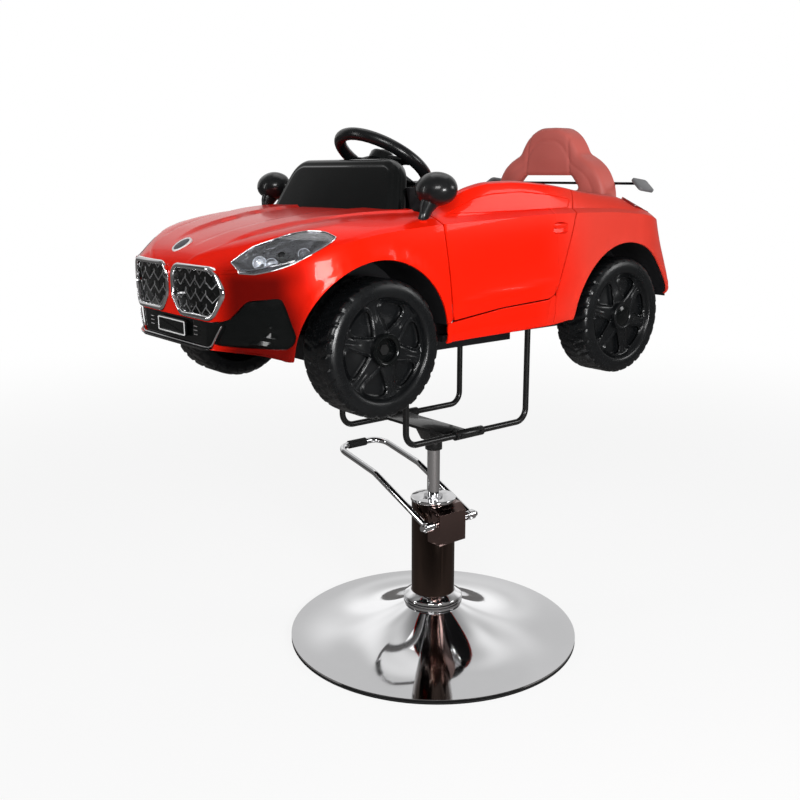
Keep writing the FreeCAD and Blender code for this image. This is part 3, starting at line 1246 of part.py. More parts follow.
name_node(feature("LampLenses", Part.makeCompound([biggest(skin.common(lamp_prism(side, v.lens_margin)))
                                                   for side in (-1, 1)])), "headlight_lenses")
name_node(feature("LampBowls", Part.makeCompound([biggest(backing.common(lamp_prism(side, v.lens_margin)))
                                                  for side in (-1, 1)])), "headlight_bowls")
name_node(feature("Vents", Part.makeCompound([biggest(backing.common(vent_prism(side, 0)).cut(lip_hole))
                                              for side in (-1, 1)])), "bumper_vents")
name_node(feature("LipGrille", biggest(backing.common(lip_prism(v.lens_margin)))), "bumper_grille")
name_node(feature("TailLamps", Part.makeCompound([biggest(skin.common(tool)) for tool in tail_holes])),
          "tail_lamps")


def grille_frame(side):
    ring = grille_prism(side, 0, 0, v.grille_frame_depth)
    return ring.cut(grille_prism(side, v.grille_frame_width, -v.cut_overrun, v.nose_hole_depth))


def grille_mesh(side):
    start = (v.grille_frame_depth - v.grille_mesh_thickness) / 2
    end = start + v.grille_mesh_thickness
    plate_shape = grille_prism(side, v.grille_frame_width, start, end)
    limit = grille_prism(side, v.grille_frame_width + v.mesh_bar, start, end)
    cell_wide = (v.grille_outer - v.grille_inner) / v.mesh_columns
    cell_tall = (v.grille_top - v.grille_bottom) / v.mesh_rows
    half_wide = (cell_wide - v.mesh_bar) / 2
    half_tall = (cell_tall - v.mesh_bar) / 2
    holes = []
    for row in range(int(v.mesh_rows) * 2 - 1):
        for column in range(int(v.mesh_columns)):
            y = (column + (row % 2) / 2 + 0.5) * cell_wide
            z = (row + 1) * cell_tall / 2
            points = [Vector(start, y - half_wide, z), Vector(start, y, z - half_tall),
                      Vector(start, y + half_wide, z), Vector(start, y, z + half_tall)]
            holes.append(polygon_prism(points, Vector(v.grille_mesh_thickness, 0, 0)))
    return biggest(plate_shape.cut(limit.common(grille_placed(Part.makeCompound(holes), side))))


frame_pair = Part.makeCompound([grille_frame(side) for side in (-1, 1)])
name_node(feature("GrilleFrames", frame_pair), "grille_frames")
mesh_pair = Part.makeCompound([grille_mesh(side) for side in (-1, 1)])
name_node(feature("GrilleMeshes", mesh_pair), "grille_meshes")
nose_front = station_x(STATION_SHARES[0])
name_node(feature("NumberPlate", box_shape(
    nose_front - v.number_plate_thickness, nose_front + v.skin_thickness,
    -v.number_plate_length / 2, v.number_plate_length / 2,
    v.number_plate_place - v.number_plate_height / 2, v.number_plate_place + v.number_plate_height / 2)),
    "number_plate")
BADGE_SHARE = .028


def badge_disc():
    low = Vector(station_x(BADGE_SHARE), 0, v.sill_height + v.body_height * crown(BADGE_SHARE))
    tilt = math.radians(v.badge_tilt)
    axis = Vector(-math.sin(tilt), 0, math.cos(tilt))
    disc = cylinder_shape(v.badge_radius, low - axis * v.badge_thickness, low + axis * v.badge_sink)
    return biggest(disc.cut(outer_form))


name_node(feature("BadgeDisc", badge_disc()), "badge_disc")


def mirror_housing(side):
    ball = Part.makeSphere(1)
    stretch = FreeCAD.Matrix()
    stretch.scale(Vector(v.mirror_half_length, v.mirror_half_width, v.mirror_half_height))
    ball = ball.transformGeometry(stretch)
    centre = Vector(-v.mirror_place, side * v.mirror_offset, v.mirror_height)
    ball.translate(centre)
    ball = ball.cut(mirror_glass_room(side))
    foot = Vector(-v.mirror_foot_place, side * (v.mirror_offset - v.mirror_foot_radius), v.mirror_foot_height)
    stalk = cylinder_shape(v.mirror_foot_radius, foot - Vector(0, 0, v.mirror_foot_radius * 2), centre)
    return biggest(ball.fuse(stalk).cut(outer_form).cut(mirror_glass_room(side)))


def mirror_glass_room(side):
    x = -v.mirror_place + v.mirror_back_cut
    return box_shape(x, x + v.far_reach, -v.far_reach, v.far_reach, 0, 2 * v.far_reach)


MIRROR_GLASS_SHARE = .9


def mirror_glass(side):
    x = -v.mirror_place + v.mirror_back_cut
    share = math.sqrt(1 - (v.mirror_back_cut / v.mirror_half_length) ** 2) * MIRROR_GLASS_SHARE
    ring = Part.makeCylinder(1, v.mirror_glass_thickness, Vector(), Vector(1, 0, 0))
    stretch = FreeCAD.Matrix()
    stretch.scale(Vector(1, v.mirror_half_width * share, v.mirror_half_height * share))
    ring = ring.transformGeometry(stretch)
    ring.translate(Vector(x, side * v.mirror_offset, v.mirror_height))
    return ring


mirror_pieces = [make(side) for make in (mirror_housing, mirror_glass) for side in (-1, 1)]
name_node(feature("Mirrors", Part.makeCompound(mirror_pieces)), "side_mirrors")

# Seat and wing.


def seat_base():
    half = v.seat_half_width
    block_shape = box_shape(v.seat_front, tub_back - v.tub_wall - v.seat_gap, -half, half,
                            v.chassis_top + v.tub_wall, v.seat_height)
    edges = [edge for edge in block_shape.Edges if edge.CenterOfMass.z > v.seat_height - v.contact_gap
             or edge.BoundBox.ZLength > v.seat_edge_round * 2]
    wall = v.seat_wall
    hollow = box_shape(v.seat_front + wall, tub_back - v.tub_wall - v.seat_gap - wall, -half + wall,
                       half - wall, v.chassis_top, v.seat_height - wall)
    inner_edges = [edge for edge in hollow.Edges if edge.CenterOfMass.z > v.seat_height - wall - v.contact_gap
                   or edge.BoundBox.ZLength > v.seat_edge_round]
    hollow = hollow.makeFillet(v.seat_edge_round - wall, inner_edges)
    return block_shape.makeFillet(v.seat_edge_round, edges).cut(hollow)


name_node(feature("SeatBase", seat_base()), "seat_base")
SEAT_BACK_SHARES = ((0, 1), (.26, .985), (.47, .92), (.575, .82), (.63, .735), (.78, .685), (.93, .63),
                    (.99, .54), (1, .42))
SEAT_FOOT_SHARE = .9


def seat_outline(inset):
    half = v.seat_back_half_width - inset
    low = v.seat_back_bottom + inset
    high = v.seat_back_height - 2 * inset
    points = [Vector(v.seat_back_face, half * across, low + high * up) for across, up in SEAT_BACK_SHARES]
    left = [Vector(point.x, -point.y, point.z) for point in points]
    crest = Part.BSplineCurve()
    crest.interpolate(left[::-1] + points[1:])
    right_foot = Vector(v.seat_back_face, half * SEAT_FOOT_SHARE, low)
    left_foot = Vector(v.seat_back_face, -right_foot.y, low)
    return Part.Wire([crest.toShape(), Part.LineSegment(points[-1], right_foot).toShape(),
                      Part.LineSegment(right_foot, left_foot).toShape(),
                      Part.LineSegment(left_foot, left[-1]).toShape()])


def seat_opening(margin):
    low = v.seat_opening_bottom - margin
    high = v.seat_opening_top + margin
    corners = [Vector(0, -v.seat_opening_low_half - margin, low), Vector(0, v.seat_opening_low_half + margin, low),
               Vector(0, v.seat_opening_high_half + margin, high),
               Vector(0, -v.seat_opening_high_half - margin, high)]
    return polygon_prism(corners, Vector(v.far_reach, 0, 0))


def seat_back():
    back = Part.Face(seat_outline(0)).extrude(Vector(v.seat_back_depth, 0, 0))
    rounded = [edge for edge in back.Edges if edge.CenterOfMass.x < v.seat_back_face + v.contact_gap
               and edge.CenterOfMass.z > v.seat_back_bottom + v.seat_back_round]
    back = back.makeFillet(v.seat_back_round, rounded)
    hollow = Part.Face(seat_outline(v.seat_wall)).extrude(Vector(v.seat_back_depth, 0, 0))
    hollow.translate(Vector(v.seat_back_round, 0, 0))
    return back.cut(hollow.cut(seat_opening(v.seat_wall))).cut(seat_opening(0))


name_node(feature("SeatBack", seat_back()), "seat_back")


def wing():
    half = v.wing_thickness / 2
    blade = box_shape(v.wing_place - v.wing_chord / 2, v.wing_place + v.wing_chord / 2,
                      -v.wing_half_span, v.wing_half_span, v.wing_height - half, v.wing_height + half)
    for side in (-1, 1):
        foot = Vector(v.wing_place, side * v.wing_post_offset, v.wing_post_foot)
        top = Vector(v.wing_place, side * v.wing_post_offset, v.wing_height)
        blade = blade.fuse(cylinder_shape(v.wing_post_radius, foot, top).cut(outer_form))
    return biggest(blade)


def wing_ends():
    ends = []
    for side in (-1, 1):
        low, high = sorted((side * v.wing_half_span, side * v.wing_end_half_span))
        ends.append(box_shape(v.wing_place - v.wing_end_chord / 2, v.wing_place + v.wing_end_chord / 2,
                              low, high, v.wing_height - v.wing_end_thickness / 2,
                              v.wing_height + v.wing_end_thickness / 2))
    return Part.makeCompound(ends)


name_node(feature("Wing", wing()), "wing_blade")
name_node(feature("WingEnds", wing_ends()), "wing_ends")

doc.recompute()
for item in doc.Objects:
    if any(word in item.State for word in ("Invalid", "Error")):
        raise RuntimeError("%s did not build" % item.Name)
for item in nodes:
    if item.Shape.isNull() or not item.Shape.isValid():
        raise RuntimeError("%s has no valid shape" % item.Label)
os.makedirs("parts", exist_ok=True)
for item in nodes:
    item.Shape.exportStep("parts/%s.step" % item.Label)
print(len(nodes), "nodes written")
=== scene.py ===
# Kids car barber chair: a ride-on roadster body on a tube frame and a foot-pumped salon column.
import math

import bmesh
import bpy
from mathutils import Matrix, Vector
from mathutils.bvhtree import BVHTree


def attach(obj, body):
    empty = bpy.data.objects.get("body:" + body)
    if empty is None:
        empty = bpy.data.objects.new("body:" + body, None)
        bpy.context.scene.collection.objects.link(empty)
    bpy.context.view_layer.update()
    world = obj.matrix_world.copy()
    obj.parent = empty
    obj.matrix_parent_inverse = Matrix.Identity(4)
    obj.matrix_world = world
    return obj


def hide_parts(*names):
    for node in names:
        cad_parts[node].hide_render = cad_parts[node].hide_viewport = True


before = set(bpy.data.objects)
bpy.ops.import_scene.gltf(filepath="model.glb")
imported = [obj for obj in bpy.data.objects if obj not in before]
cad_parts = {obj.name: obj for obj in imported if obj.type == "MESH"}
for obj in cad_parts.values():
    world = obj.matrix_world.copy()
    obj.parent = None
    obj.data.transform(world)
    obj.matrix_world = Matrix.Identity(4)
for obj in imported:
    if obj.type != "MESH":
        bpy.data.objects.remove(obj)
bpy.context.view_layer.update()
mm = .001  # the piece sizes below are in millimetres
acrossMiddle = Matrix.Diagonal((1, -1, 1, 1))
print("frame loaded")


# Small helpers that stand for the hand moves used on every piece.
def activate(piece):
    bpy.ops.object.select_all(action="DESELECT")
    piece.select_set(True)
    bpy.context.view_layer.objects.active = piece


def newPiece(name, mesh):
    piece = bpy.data.objects.new(name, mesh)
    bpy.context.collection.objects.link(piece)
    return piece


def pieceFromMesh(name, bm):
    mesh = bpy.data.meshes.new(name)
    bm.to_mesh(mesh)
    bm.free()
    return newPiece(name, mesh)


def modify(piece, kind, **settings):
    activate(piece)
    modifier = piece.modifiers.new(kind.lower(), kind)
    for setting, choice in settings.items():
        setattr(modifier, setting, choice)
    bpy.ops.object.modifier_apply(modifier=modifier.name)


def softEdges(piece, width, angle):
    modify(piece, "BEVEL", width=width * mm, segments=2, limit_method="ANGLE",
           angle_limit=math.radians(angle), use_clamp_overlap=True, miter_outer="MITER_ARC")


def smooth(piece, angle=35):
    activate(piece)
    bpy.ops.object.shade_smooth_by_angle(angle=math.radians(angle))


def evenShading(piece, angle=34):
    smooth(piece, angle)
    modify(piece, "WEIGHTED_NORMAL", keep_sharp=True, weight=60)


def editAll(piece):
    # edit mode with the whole mesh selected
    activate(piece)
    bpy.ops.object.mode_set(mode="EDIT")
    bpy.ops.mesh.select_all(action="SELECT")


def mergeClose(piece, reach=.01):
    editAll(piece)
    bpy.ops.mesh.remove_doubles(threshold=reach * mm)
    bpy.ops.mesh.normals_make_consistent(inside=False)
    bpy.ops.object.mode_set(mode="OBJECT")


def wear(piece, body, slot, material, *nodes):
    # the piece rides on its body, stands for its nodes and takes its finish
    piece.data.materials.clear()
    piece.data.materials.append(material)
    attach(piece, body)
    if nodes:
        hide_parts(*nodes)
    return piece


def roundedCopy(node, name, width):
    # the CAD shape with its edges taken off, as a moulded or machined piece has them
    piece = newPiece(name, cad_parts[node].data.copy())
    mergeClose(piece)
    modify(piece, "DECIMATE", decimate_type="DISSOLVE", angle_limit=math.radians(.6))
    softEdges(piece, width, 30)
    smooth(piece)
    return piece


def filletPoints(corners, radii, steps=6, closed=True):
    # the corner list with each corner swapped for an arc of its radius
    points = []
    count = len(corners)
    for i, corner in enumerate(corners):
        radius = radii[i] if isinstance(radii, (list, tuple)) else radii
        here = Vector(corner)
        if radius <= 0 or (not closed and i in (0, count - 1)):
            points.append(here)
            continue
        before = (Vector(corners[i - 1]) - here).normalized()
        after = (Vector(corners[(i + 1) % count]) - here).normalized()
        half = before.angle(after) / 2
        reach = radius / math.tan(half)
        middle = here + (before + after).normalized() * (radius / math.sin(half))
        start = here + before * reach - middle
        end = here + after * reach - middle
        sweep = start.angle(end)
        for step in range(steps + 1):
            share = step / steps
            near = math.sin((1 - share) * sweep) / math.sin(sweep)
            far = math.sin(share * sweep) / math.sin(sweep)
            points.append(middle + start * near + end * far)
    return points


def flatOutline(corners, radii, steps=4):
    return [(p.x, p.y) for p in filletPoints([(a, b, 0) for a, b in corners], radii, steps)]


def roundedBox(long, tall, radius, steps):
    # a rounded rectangle about its middle
    half, rise = long / 2, tall / 2
    return flatOutline(((-half, -rise), (half, -rise), (half, rise), (-half, rise)), radius, steps)


def around(radius, z, k, count):
    # the kth of a count of places round Z
    angle = 2 * math.pi * k / count
    return Vector((radius * math.cos(angle), radius * math.sin(angle), z)) * mm


def turnedPlace(origin, degrees, axis="Y"):
    # a turn about an axis and then the move to an origin in millimetres
    return Matrix.Translation(Vector(origin) * mm) @ Matrix.Rotation(math.radians(degrees), 4, axis)


def axesMatrix(right, up, out, origin, scale=1):
    # lays the plain axes along the given ones, at an origin in millimetres
    matrix = Matrix([[part * scale for part in axis] for axis in (right, up, out)]).transposed().to_4x4()
    matrix.translation = Vector(origin) * mm
    return matrix


def bridge(bm, rows, ringed=False, wrapped=False, flipped=False):
    # quads between neighbouring rows; ringed closes each row, wrapped joins the last to the first
    following = rows[1:] + rows[:1] if wrapped else rows[1:]
    for low, high in zip(rows, following):
        for i in range(len(low) if ringed else len(low) - 1):
            j = (i + 1) % len(low)
            corners = (low[i], low[j], high[j], high[i])
            bm.faces.new((corners[0], *corners[:0:-1]) if flipped else corners)


def boundary(bm):
    return [edge for edge in bm.edges if edge.is_boundary]


def outlineNormals(outline):
    # at each point the way in from a loop that runs anticlockwise
    normals = []
    for i in range(len(outline)):
        along = (Vector(outline[(i + 1) % len(outline)]) - Vector(outline[i - 1])).normalized()
        normals.append(Vector((-along.y, along.x)))
    return normals


def sweepOutline(name, outline, profile, filled=False):
    # lofts a loop of plan points through steps of inset and height
    bm = bmesh.new()
    normals = outlineNormals(outline)
    rings = [[bm.verts.new((*(Vector(point) + normal * inset), height))
              for point, normal in zip(outline, normals)] for inset, height in profile]
    bridge(bm, rings, ringed=True)
    if filled:
        bm.faces.new(rings[0])
        bm.faces.new(rings[-1])
    if profile[0] == profile[-1]:
        bmesh.ops.remove_doubles(bm, verts=bm.verts, dist=.001)
    bmesh.ops.recalc_face_normals(bm, faces=bm.faces)
    return pieceFromMesh(name, bm)


def lathe(name, profile, steps=96, closed=True):
    # spins a radius and height profile round Z, as with the spin tool
    bm = bmesh.new()
    dots = [bm.verts.new((r * mm, 0, z * mm)) for r, z in profile]
    for a, b in list(zip(dots, dots[1:])) + ([(dots[-1], dots[0])] if closed else []):
        bm.edges.new((a, b))
    piece = pieceFromMesh(name, bm)
    editAll(piece)
    bpy.ops.mesh.spin(steps=steps, angle=2 * math.pi, center=(0, 0, 0), axis=(0, 0, 1))
    bpy.ops.object.mode_set(mode="OBJECT")
    mergeClose(piece)
    smooth(piece)
    return piece


def tube(name, points, radius, closed=False, sides=8):
    # a bent tube along a list of points, ends capped
    curve = bpy.data.curves.new(name, "CURVE")
    curve.dimensions = "3D"
    curve.bevel_depth = radius * mm
    curve.bevel_resolution = sides
    curve.use_fill_caps = not closed
    spline = curve.splines.new("POLY")
    spline.points.add(len(points) - 1)
    for dot, point in zip(spline.points, points):
        dot.co = (*(Vector(point) * mm), 1)
    spline.use_cyclic_u = closed
    activate(newPiece(name, curve))
    bpy.ops.object.convert(target="MESH")
    piece = bpy.context.object
    mergeClose(piece)
    smooth(piece, 50)
    return piece


def loft(name, rings, sides=28):
    # an oval column through a list of middles with their half widths
    bm = bmesh.new()
    loops = []
    for middle, wide, deep in rings:
        turns = [2 * math.pi * k / sides for k in range(sides)]
        oval = [Vector((wide * math.cos(turn), deep * math.sin(turn), 0)) for turn in turns]
        loops.append([bm.verts.new((Vector(middle) + spot) * mm) for spot in oval])
    bridge(bm, loops, ringed=True)
    bm.faces.new(loops[0])
    bm.faces.new(loops[-1])
    bmesh.ops.recalc_face_normals(bm, faces=bm.faces)
    piece = pieceFromMesh(name, bm)
    smooth(piece, 50)
    return piece


def moveMesh(piece, matrix):
    piece.data.transform(matrix)
    if matrix.determinant() < 0:
        piece.data.flip_normals()
    piece.data.update()
    return piece


def joinPieces(name, pieces):
    activate(pieces[0])
    for piece in pieces:
        piece.select_set(True)
    bpy.ops.object.join()
    pieces[0].name = name
    pieces[0].data.name = name
    return pieces[0]


def mirroredCopy(piece, name):
    return moveMesh(newPiece(name, piece.data.copy()), acrossMiddle)


# Camera: matched to the photograph through the base, the wheels and the body corners.
camera = {
    "place": (-1258.5, -1437.8, 955.8), "lens": 43.637, "sensor": 36, "farClip": 200,
    "right": (.77539844, -.63146975, -.00179215), "up": (.14598442, .17649553, .97341557),
}


def setCamera():
    data = bpy.data.cameras.new("photoCamera")
    data.lens = camera["lens"]
    data.sensor_width = camera["sensor"]
    data.clip_end = camera["farClip"]
    holder = newPiece("photoCamera", data)
    right, up = Vector(camera["right"]), Vector(camera["up"])
    holder.matrix_world = axesMatrix(right, up, right.cross(up), camera["place"])
    bpy.context.scene.camera = holder


setCamera()


# Shader nodes, each made with its settings and with links or plain values on its inputs.
def addNode(tree, kind, output=0, settings=(), inputs=()):
    node = tree.nodes.new("ShaderNode" + kind)
    for setting, choice in settings:
        setattr(node, setting, choice)
    for label, choice in inputs:
        feed(tree, node.inputs[label], choice)
    return node.outputs[output]


def feed(tree, socket, choice):
    if hasattr(choice, "is_linked"):
        tree.links.new(choice, socket)
    else:
        socket.default_value = choice


def noiseAt(tree, place, scale, detail=3, rough=.5):
    return addNode(tree, "TexNoise", "Fac", (),
                   (("Vector", place), ("Scale", scale), ("Detail", detail), ("Roughness", rough)))


def rangeMap(tree, value, low, high, start=0, end=1):
    ends = (("From Min", low), ("From Max", high), ("To Min", start), ("To Max", end))
    return addNode(tree, "MapRange", "Result", (("interpolation_type", "SMOOTHSTEP"),),
                   (("Value", value), *ends))


def calculate(tree, kind, *values):
    return addNode(tree, "Math", "Value", (("operation", kind),), enumerate(values))


def mixColour(tree, share, first, second):
    # the colour inputs of the mix node have the indices 6 and 7
    return addNode(tree, "Mix", 2, (("data_type", "RGBA"),), ((0, share), (6, first), (7, second)))


def splitPlace(tree, place):
    return addNode(tree, "SeparateXYZ", 0, (), (("Vector", place),)).node.outputs


def mixShaders(tree, share, first, second):
    return addNode(tree, "MixShader", 0, (), ((0, share), (1, first), (2, second)))


def useGroup(tree, group, place, **values):
    return addNode(tree, "Group", 0, (("node_tree", group),), (("Place", place), *values.items()))


def newGroup(name, result, kind, *inputs):
    # a group that reads a place and a few values and gives one result
    group = bpy.data.node_groups.new(name, "ShaderNodeTree")
    for label, inputKind, start in (("Place", "Vector", (0, 0, 0)), *inputs):
        socket = group.interface.new_socket(name=label, in_out="INPUT", socket_type="NodeSocket" + inputKind)
        socket.default_value = start
    group.interface.new_socket(name=result, in_out="OUTPUT", socket_type="NodeSocket" + kind)
    return group, group.nodes.new("NodeGroupInput").outputs, group.nodes.new("NodeGroupOutput").inputs[0]


def toneGroup():
    # a colour that drifts a little lighter and darker over the surface
    group, given, result = newGroup("toneDrift", "Colour", "Color", ("Colour", "Color", (1, 1, 1, 1)),
                                    ("Amount", "Float", .1), ("Scale", "Float", 20))
    drift = noiseAt(group, given["Place"], given["Scale"], 4)
    swing = calculate(group, "MULTIPLY", calculate(group, "SUBTRACT", drift, .5), given["Amount"])
    level = calculate(group, "ADD", calculate(group, "MULTIPLY", swing, 2), 1)
    shade = addNode(group, "HueSaturation", 0, (), (("Color", given["Colour"]), ("Value", level)))
    feed(group, result, shade)
    return group


def smudgeGroup():
    # roughness with broad handling smudges and fine dust in it
    group, given, result = newGroup("handledGloss", "Roughness", "Float", ("Base", "Float", .3),
                                    ("Amount", "Float", .1), ("Scale", "Float", 9))
    broad = rangeMap(group, noiseAt(group, given["Place"], given["Scale"], 5, .6), .4, .75)
    fine = rangeMap(group, noiseAt(group, given["Place"], 420, 2), .62, .8)
    both = calculate(group, "ADD", broad, calculate(group, "MULTIPLY", fine, .5))
    lift = calculate(group, "MULTIPLY", both, given["Amount"])
    feed(group, result, calculate(group, "ADD", lift, given["Base"]))
    return group


def grainGroup():
    # the fine spark-eroded grain of moulded plastic, as a height
    group, given, result = newGroup("mouldGrain", "Height", "Float", ("Scale", "Float", 900))
    cells = addNode(group, "TexVoronoi", "Distance", (("feature", "SMOOTH_F1"),),
                    (("Vector", given["Place"]), ("Scale", given["Scale"])))
    feed(group, result, calculate(group, "ADD", cells, noiseAt(group, given["Place"], given["Scale"], 2)))
    return group


def brushGroup():
    # long fine scratches from turning, as a height that follows the radius and height
    group, given, result = newGroup("turnedLines", "Height", "Float", ("Scale", "Float", 400))
    x, y, z = splitPlace(group, given["Place"])
    squares = calculate(group, "ADD", calculate(group, "MULTIPLY", x, x), calculate(group, "MULTIPLY", y, y))
    merged = addNode(group, "CombineXYZ", 0, (), (("X", calculate(group, "SQRT", squares)), ("Y", z)))
    feed(group, result, noiseAt(group, merged, given["Scale"], 4, .7))
    return group


toneDrift = toneGroup()
handledGloss = smudgeGroup()
mouldGrain = grainGroup()
turnedLines = brushGroup()


def colour(red, green, blue):
    return (red, green, blue, 1)


def newMaterial(name):
    material = bpy.data.materials.new(name)
    material.use_nodes = True
    tree = material.node_tree
    return material, tree, tree.nodes["Principled BSDF"].inputs, addNode(tree, "TexCoord", "Object")


def addBump(tree, sockets, height, strength, depth):
    inputs = (("Strength", strength), ("Distance", depth * mm), ("Height", height))
    feed(tree, sockets["Normal"], addNode(tree, "Bump", 0, (), inputs))


surface = {"coatRough": .04, "smudgeScale": 9, "grainDepth": .12}


def finish(name, base, rough, metallic=0, coat=0, tone=.12, toneScale=14, smudge=.08, grain=0,
           grainScale=1100, turned=False, mirrored=.5):
    # one finish: drifting colour, handled gloss and a fine surface
    material, tree, sockets, place = newMaterial(name)
    tint = useGroup(tree, toneDrift, place, Colour=base, Amount=tone, Scale=toneScale)
    gloss = useGroup(tree, handledGloss, place, Base=rough, Amount=smudge, Scale=surface["smudgeScale"])
    for label, choice in (("Base Color", tint), ("Roughness", gloss), ("Metallic", metallic),
                          ("Coat Weight", coat), ("Coat Roughness", surface["coatRough"]),
                          ("Specular IOR Level", mirrored)):
        feed(tree, sockets[label], choice)
    if grain:
        height = useGroup(tree, turnedLines if turned else mouldGrain, place, Scale=grainScale)
        addBump(tree, sockets, height, grain, surface["grainDepth"])
    return material


paint = {
    # deep is the near black of the painted dark reflection on the nose's lower corners
    "front": colour(.84, .012, .002), "rear": colour(.60, .040, .024), "deep": colour(.030, .001, .001),
    "fade": (.02, .18), "wander": .12, "wanderScale": 5, "tone": .05, "toneScale": 26,
    "Metallic": (.18, .02), "Roughness": (.26, .42), "Coat Weight": (.16, .03), "coatRough": .035,
    "mirrored": .05, "peel": .012, "peelScale": 140, "peelDepth": .5,
    # where and how strongly the painted dark reflection darkens the nose
    "paintedReflectionBelow": (.850, .795), "paintedReflectionAhead": (-.435, -.505), "paintedReflectionBeside": (.105, .170), "paintedReflectionShare": .9,
}


def carPaint():
    # metallic lacquer at the front that fades into a flatter sprayed red at the rear, with a painted dark
    # reflection on the nose's lower corners
    material, tree, sockets, place = newMaterial("carPaint")
    x, y, z = splitPlace(tree, place)
    swing = calculate(tree, "SUBTRACT", noiseAt(tree, place, paint["wanderScale"], 2), .5)
    along = calculate(tree, "ADD", x, calculate(tree, "MULTIPLY", swing, paint["wander"]))
    fade = rangeMap(tree, along, *paint["fade"])
    red = mixColour(tree, fade, paint["front"], paint["rear"])
    # painted reflection: the nose darkens towards its lower corners, a dark reflection painted into the red
    shade = paint["paintedReflectionShare"]
    beside = calculate(tree, "ABSOLUTE", y)
    for value, key in ((z, "paintedReflectionBelow"), (along, "paintedReflectionAhead"), (beside, "paintedReflectionBeside")):
        shade = calculate(tree, "MULTIPLY", rangeMap(tree, value, *paint[key]), shade)
    red = mixColour(tree, shade, red, paint["deep"])
    feed(tree, sockets["Base Color"],
         useGroup(tree, toneDrift, place, Colour=red, Amount=paint["tone"], Scale=paint["toneScale"]))
    for label in ("Metallic", "Roughness", "Coat Weight"):
        feed(tree, sockets[label], rangeMap(tree, fade, 0, 1, *paint[label]))
    sockets["Coat Roughness"].default_value = paint["coatRough"]
    sockets["Specular IOR Level"].default_value = paint["mirrored"]
    addBump(tree, sockets, useGroup(tree, mouldGrain, place, Scale=paint["peelScale"]), paint["peel"],
            paint["peelDepth"])
    return material


def clearLens():
    material = finish("clearLens", colour(.95, .97, 1), .02, tone=.01, smudge=.02)
    sockets = material.node_tree.nodes["Principled BSDF"].inputs
    sockets["Transmission Weight"].default_value = 1
    sockets["IOR"].default_value = 1.46
    return material


# The blacks mirror less than other plastics.
bodyPaint = carPaint()
lensClear = clearLens()
seatRed = finish("seatRed", colour(.52, .105, .085), .46, tone=.10, toneScale=10, smudge=.14, grain=.25,
                 grainScale=1400)
grainBlack = finish("grainBlack", colour(.008, .008, .009), .50, tone=.3, grain=.45, grainScale=900,
                    mirrored=.2)
wheelBlack = finish("wheelBlack", colour(.004, .0045, .005), .24, tone=.3, smudge=.16, grain=.22,
                    grainScale=1300, mirrored=.36)
glossBlack = finish("glossBlack", colour(.003, .0035, .0035), .13, coat=.2, tone=.2, smudge=.06, mirrored=.2)
satinSteel = finish("satinSteel", colour(.010, .010, .010), .30, coat=.3, tone=.3, smudge=.16, grain=.25,
                    grainScale=600, mirrored=.22)
chrome = finish("chrome", colour(.80, .80, .81), .045, metallic=1, tone=.03, smudge=.05)
darkChrome = finish("darkChrome", colour(.115, .080, .066), .10, metallic=1, tone=.25, toneScale=8,
                    smudge=.07)
steel = finish("steel", colour(.52, .52, .53), .28, metallic=1, smudge=.12, grain=.3, grainScale=500,
               turned=True)
castIron = finish("castIron", colour(.05, .05, .05), .6, tone=.3, grain=.6, grainScale=500)
rubber = finish("rubber", colour(.012, .012, .012), .62, tone=.3, smudge=.12, grain=.3, grainScale=1500,
                mirrored=.2)
wingGrey = finish("wingGrey", colour(.13, .13, .135), .42, tone=.2, grain=.3)
mirrorSilver = finish("mirrorSilver", colour(.72, .74, .76), .06, metallic=1, tone=.05)
housingChrome = finish("housingChrome", colour(.24, .165, .15), .10, metallic=1, tone=.2, toneScale=12)
satinBlack = finish("satinBlack", colour(.006, .0065, .007), .27, coat=.25, tone=.2, smudge=.1, grain=.1,
                    mirrored=.24)
reflector = finish("reflector", colour(.62, .63, .65), .12, metallic=1, tone=.5, toneScale=70, smudge=.2)
bowlDark = finish("bowlDark", colour(.045, .045, .05), .22, metallic=.8, tone=.9, toneScale=45, smudge=.2)
tailRed = finish("tailRed", colour(.16, .006, .005), .12, coat=1, tone=.2)
buttonRed = finish("buttonRed", colour(.40, .01, .008), .2, coat=.6, tone=.1)
badgeDark = finish("badgeDark", colour(.006, .008, .022), .38, tone=.15)
trimWhite = finish("trimWhite", colour(.75, .75, .75), .3, tone=.04)
print("finishes mixed")

# Stage: plain pale floor, a white world behind it and soft studio light.
stage = {
    "floorHalf": 60, "floorRough": .9, "floorTone": colour(.86, .86, .86),
    "mirroredTone": colour(.12, .11, .105), "glow": .86, "fade": (1.2, 4), "glossyFloor": .06,
    "overhead": (.15, .85), "diffuseSide": .46, "diffuseTop": .06,
    "behind": (.62, .76, .19), "behindRange": (.30, .86), "glossyDark": .03, "glossyBright": 1.0,
    "skyRange": (.08, .6), "glossySky": .28, "streakScale": 2.6, "streaks": (.36, .62, .62, 1.1),
}
aimPoint = (0, 0, .75)
# each lamp: place, aim, width, height and power
studioLamps = {
    "keySoftbox": ((-2.1, -1.9, 1.9), aimPoint, 1.1, .8, 42),
    "topSoftbox": ((.6, .5, 3.0), aimPoint, 1.9, 1.3, 8),
    "windowBox": ((-.56, -2.05, .80), (-.43, -.25, .80), .46, .34, 24),
    "sideBox": ((1.9, -2.1, 1.5), aimPoint, .8, .8, 16),
    "stripLeft": ((-2.4, 1.1, 1.3), aimPoint, .2, 1.4, 9),
}


def lightPath(tree):
    # the path's outputs, and the share that the camera or a clear piece sees
    path = addNode(tree, "LightPath").node.outputs
    return path, calculate(tree, "MAXIMUM", path["Is Camera Ray"], path["Is Transmission Ray"])


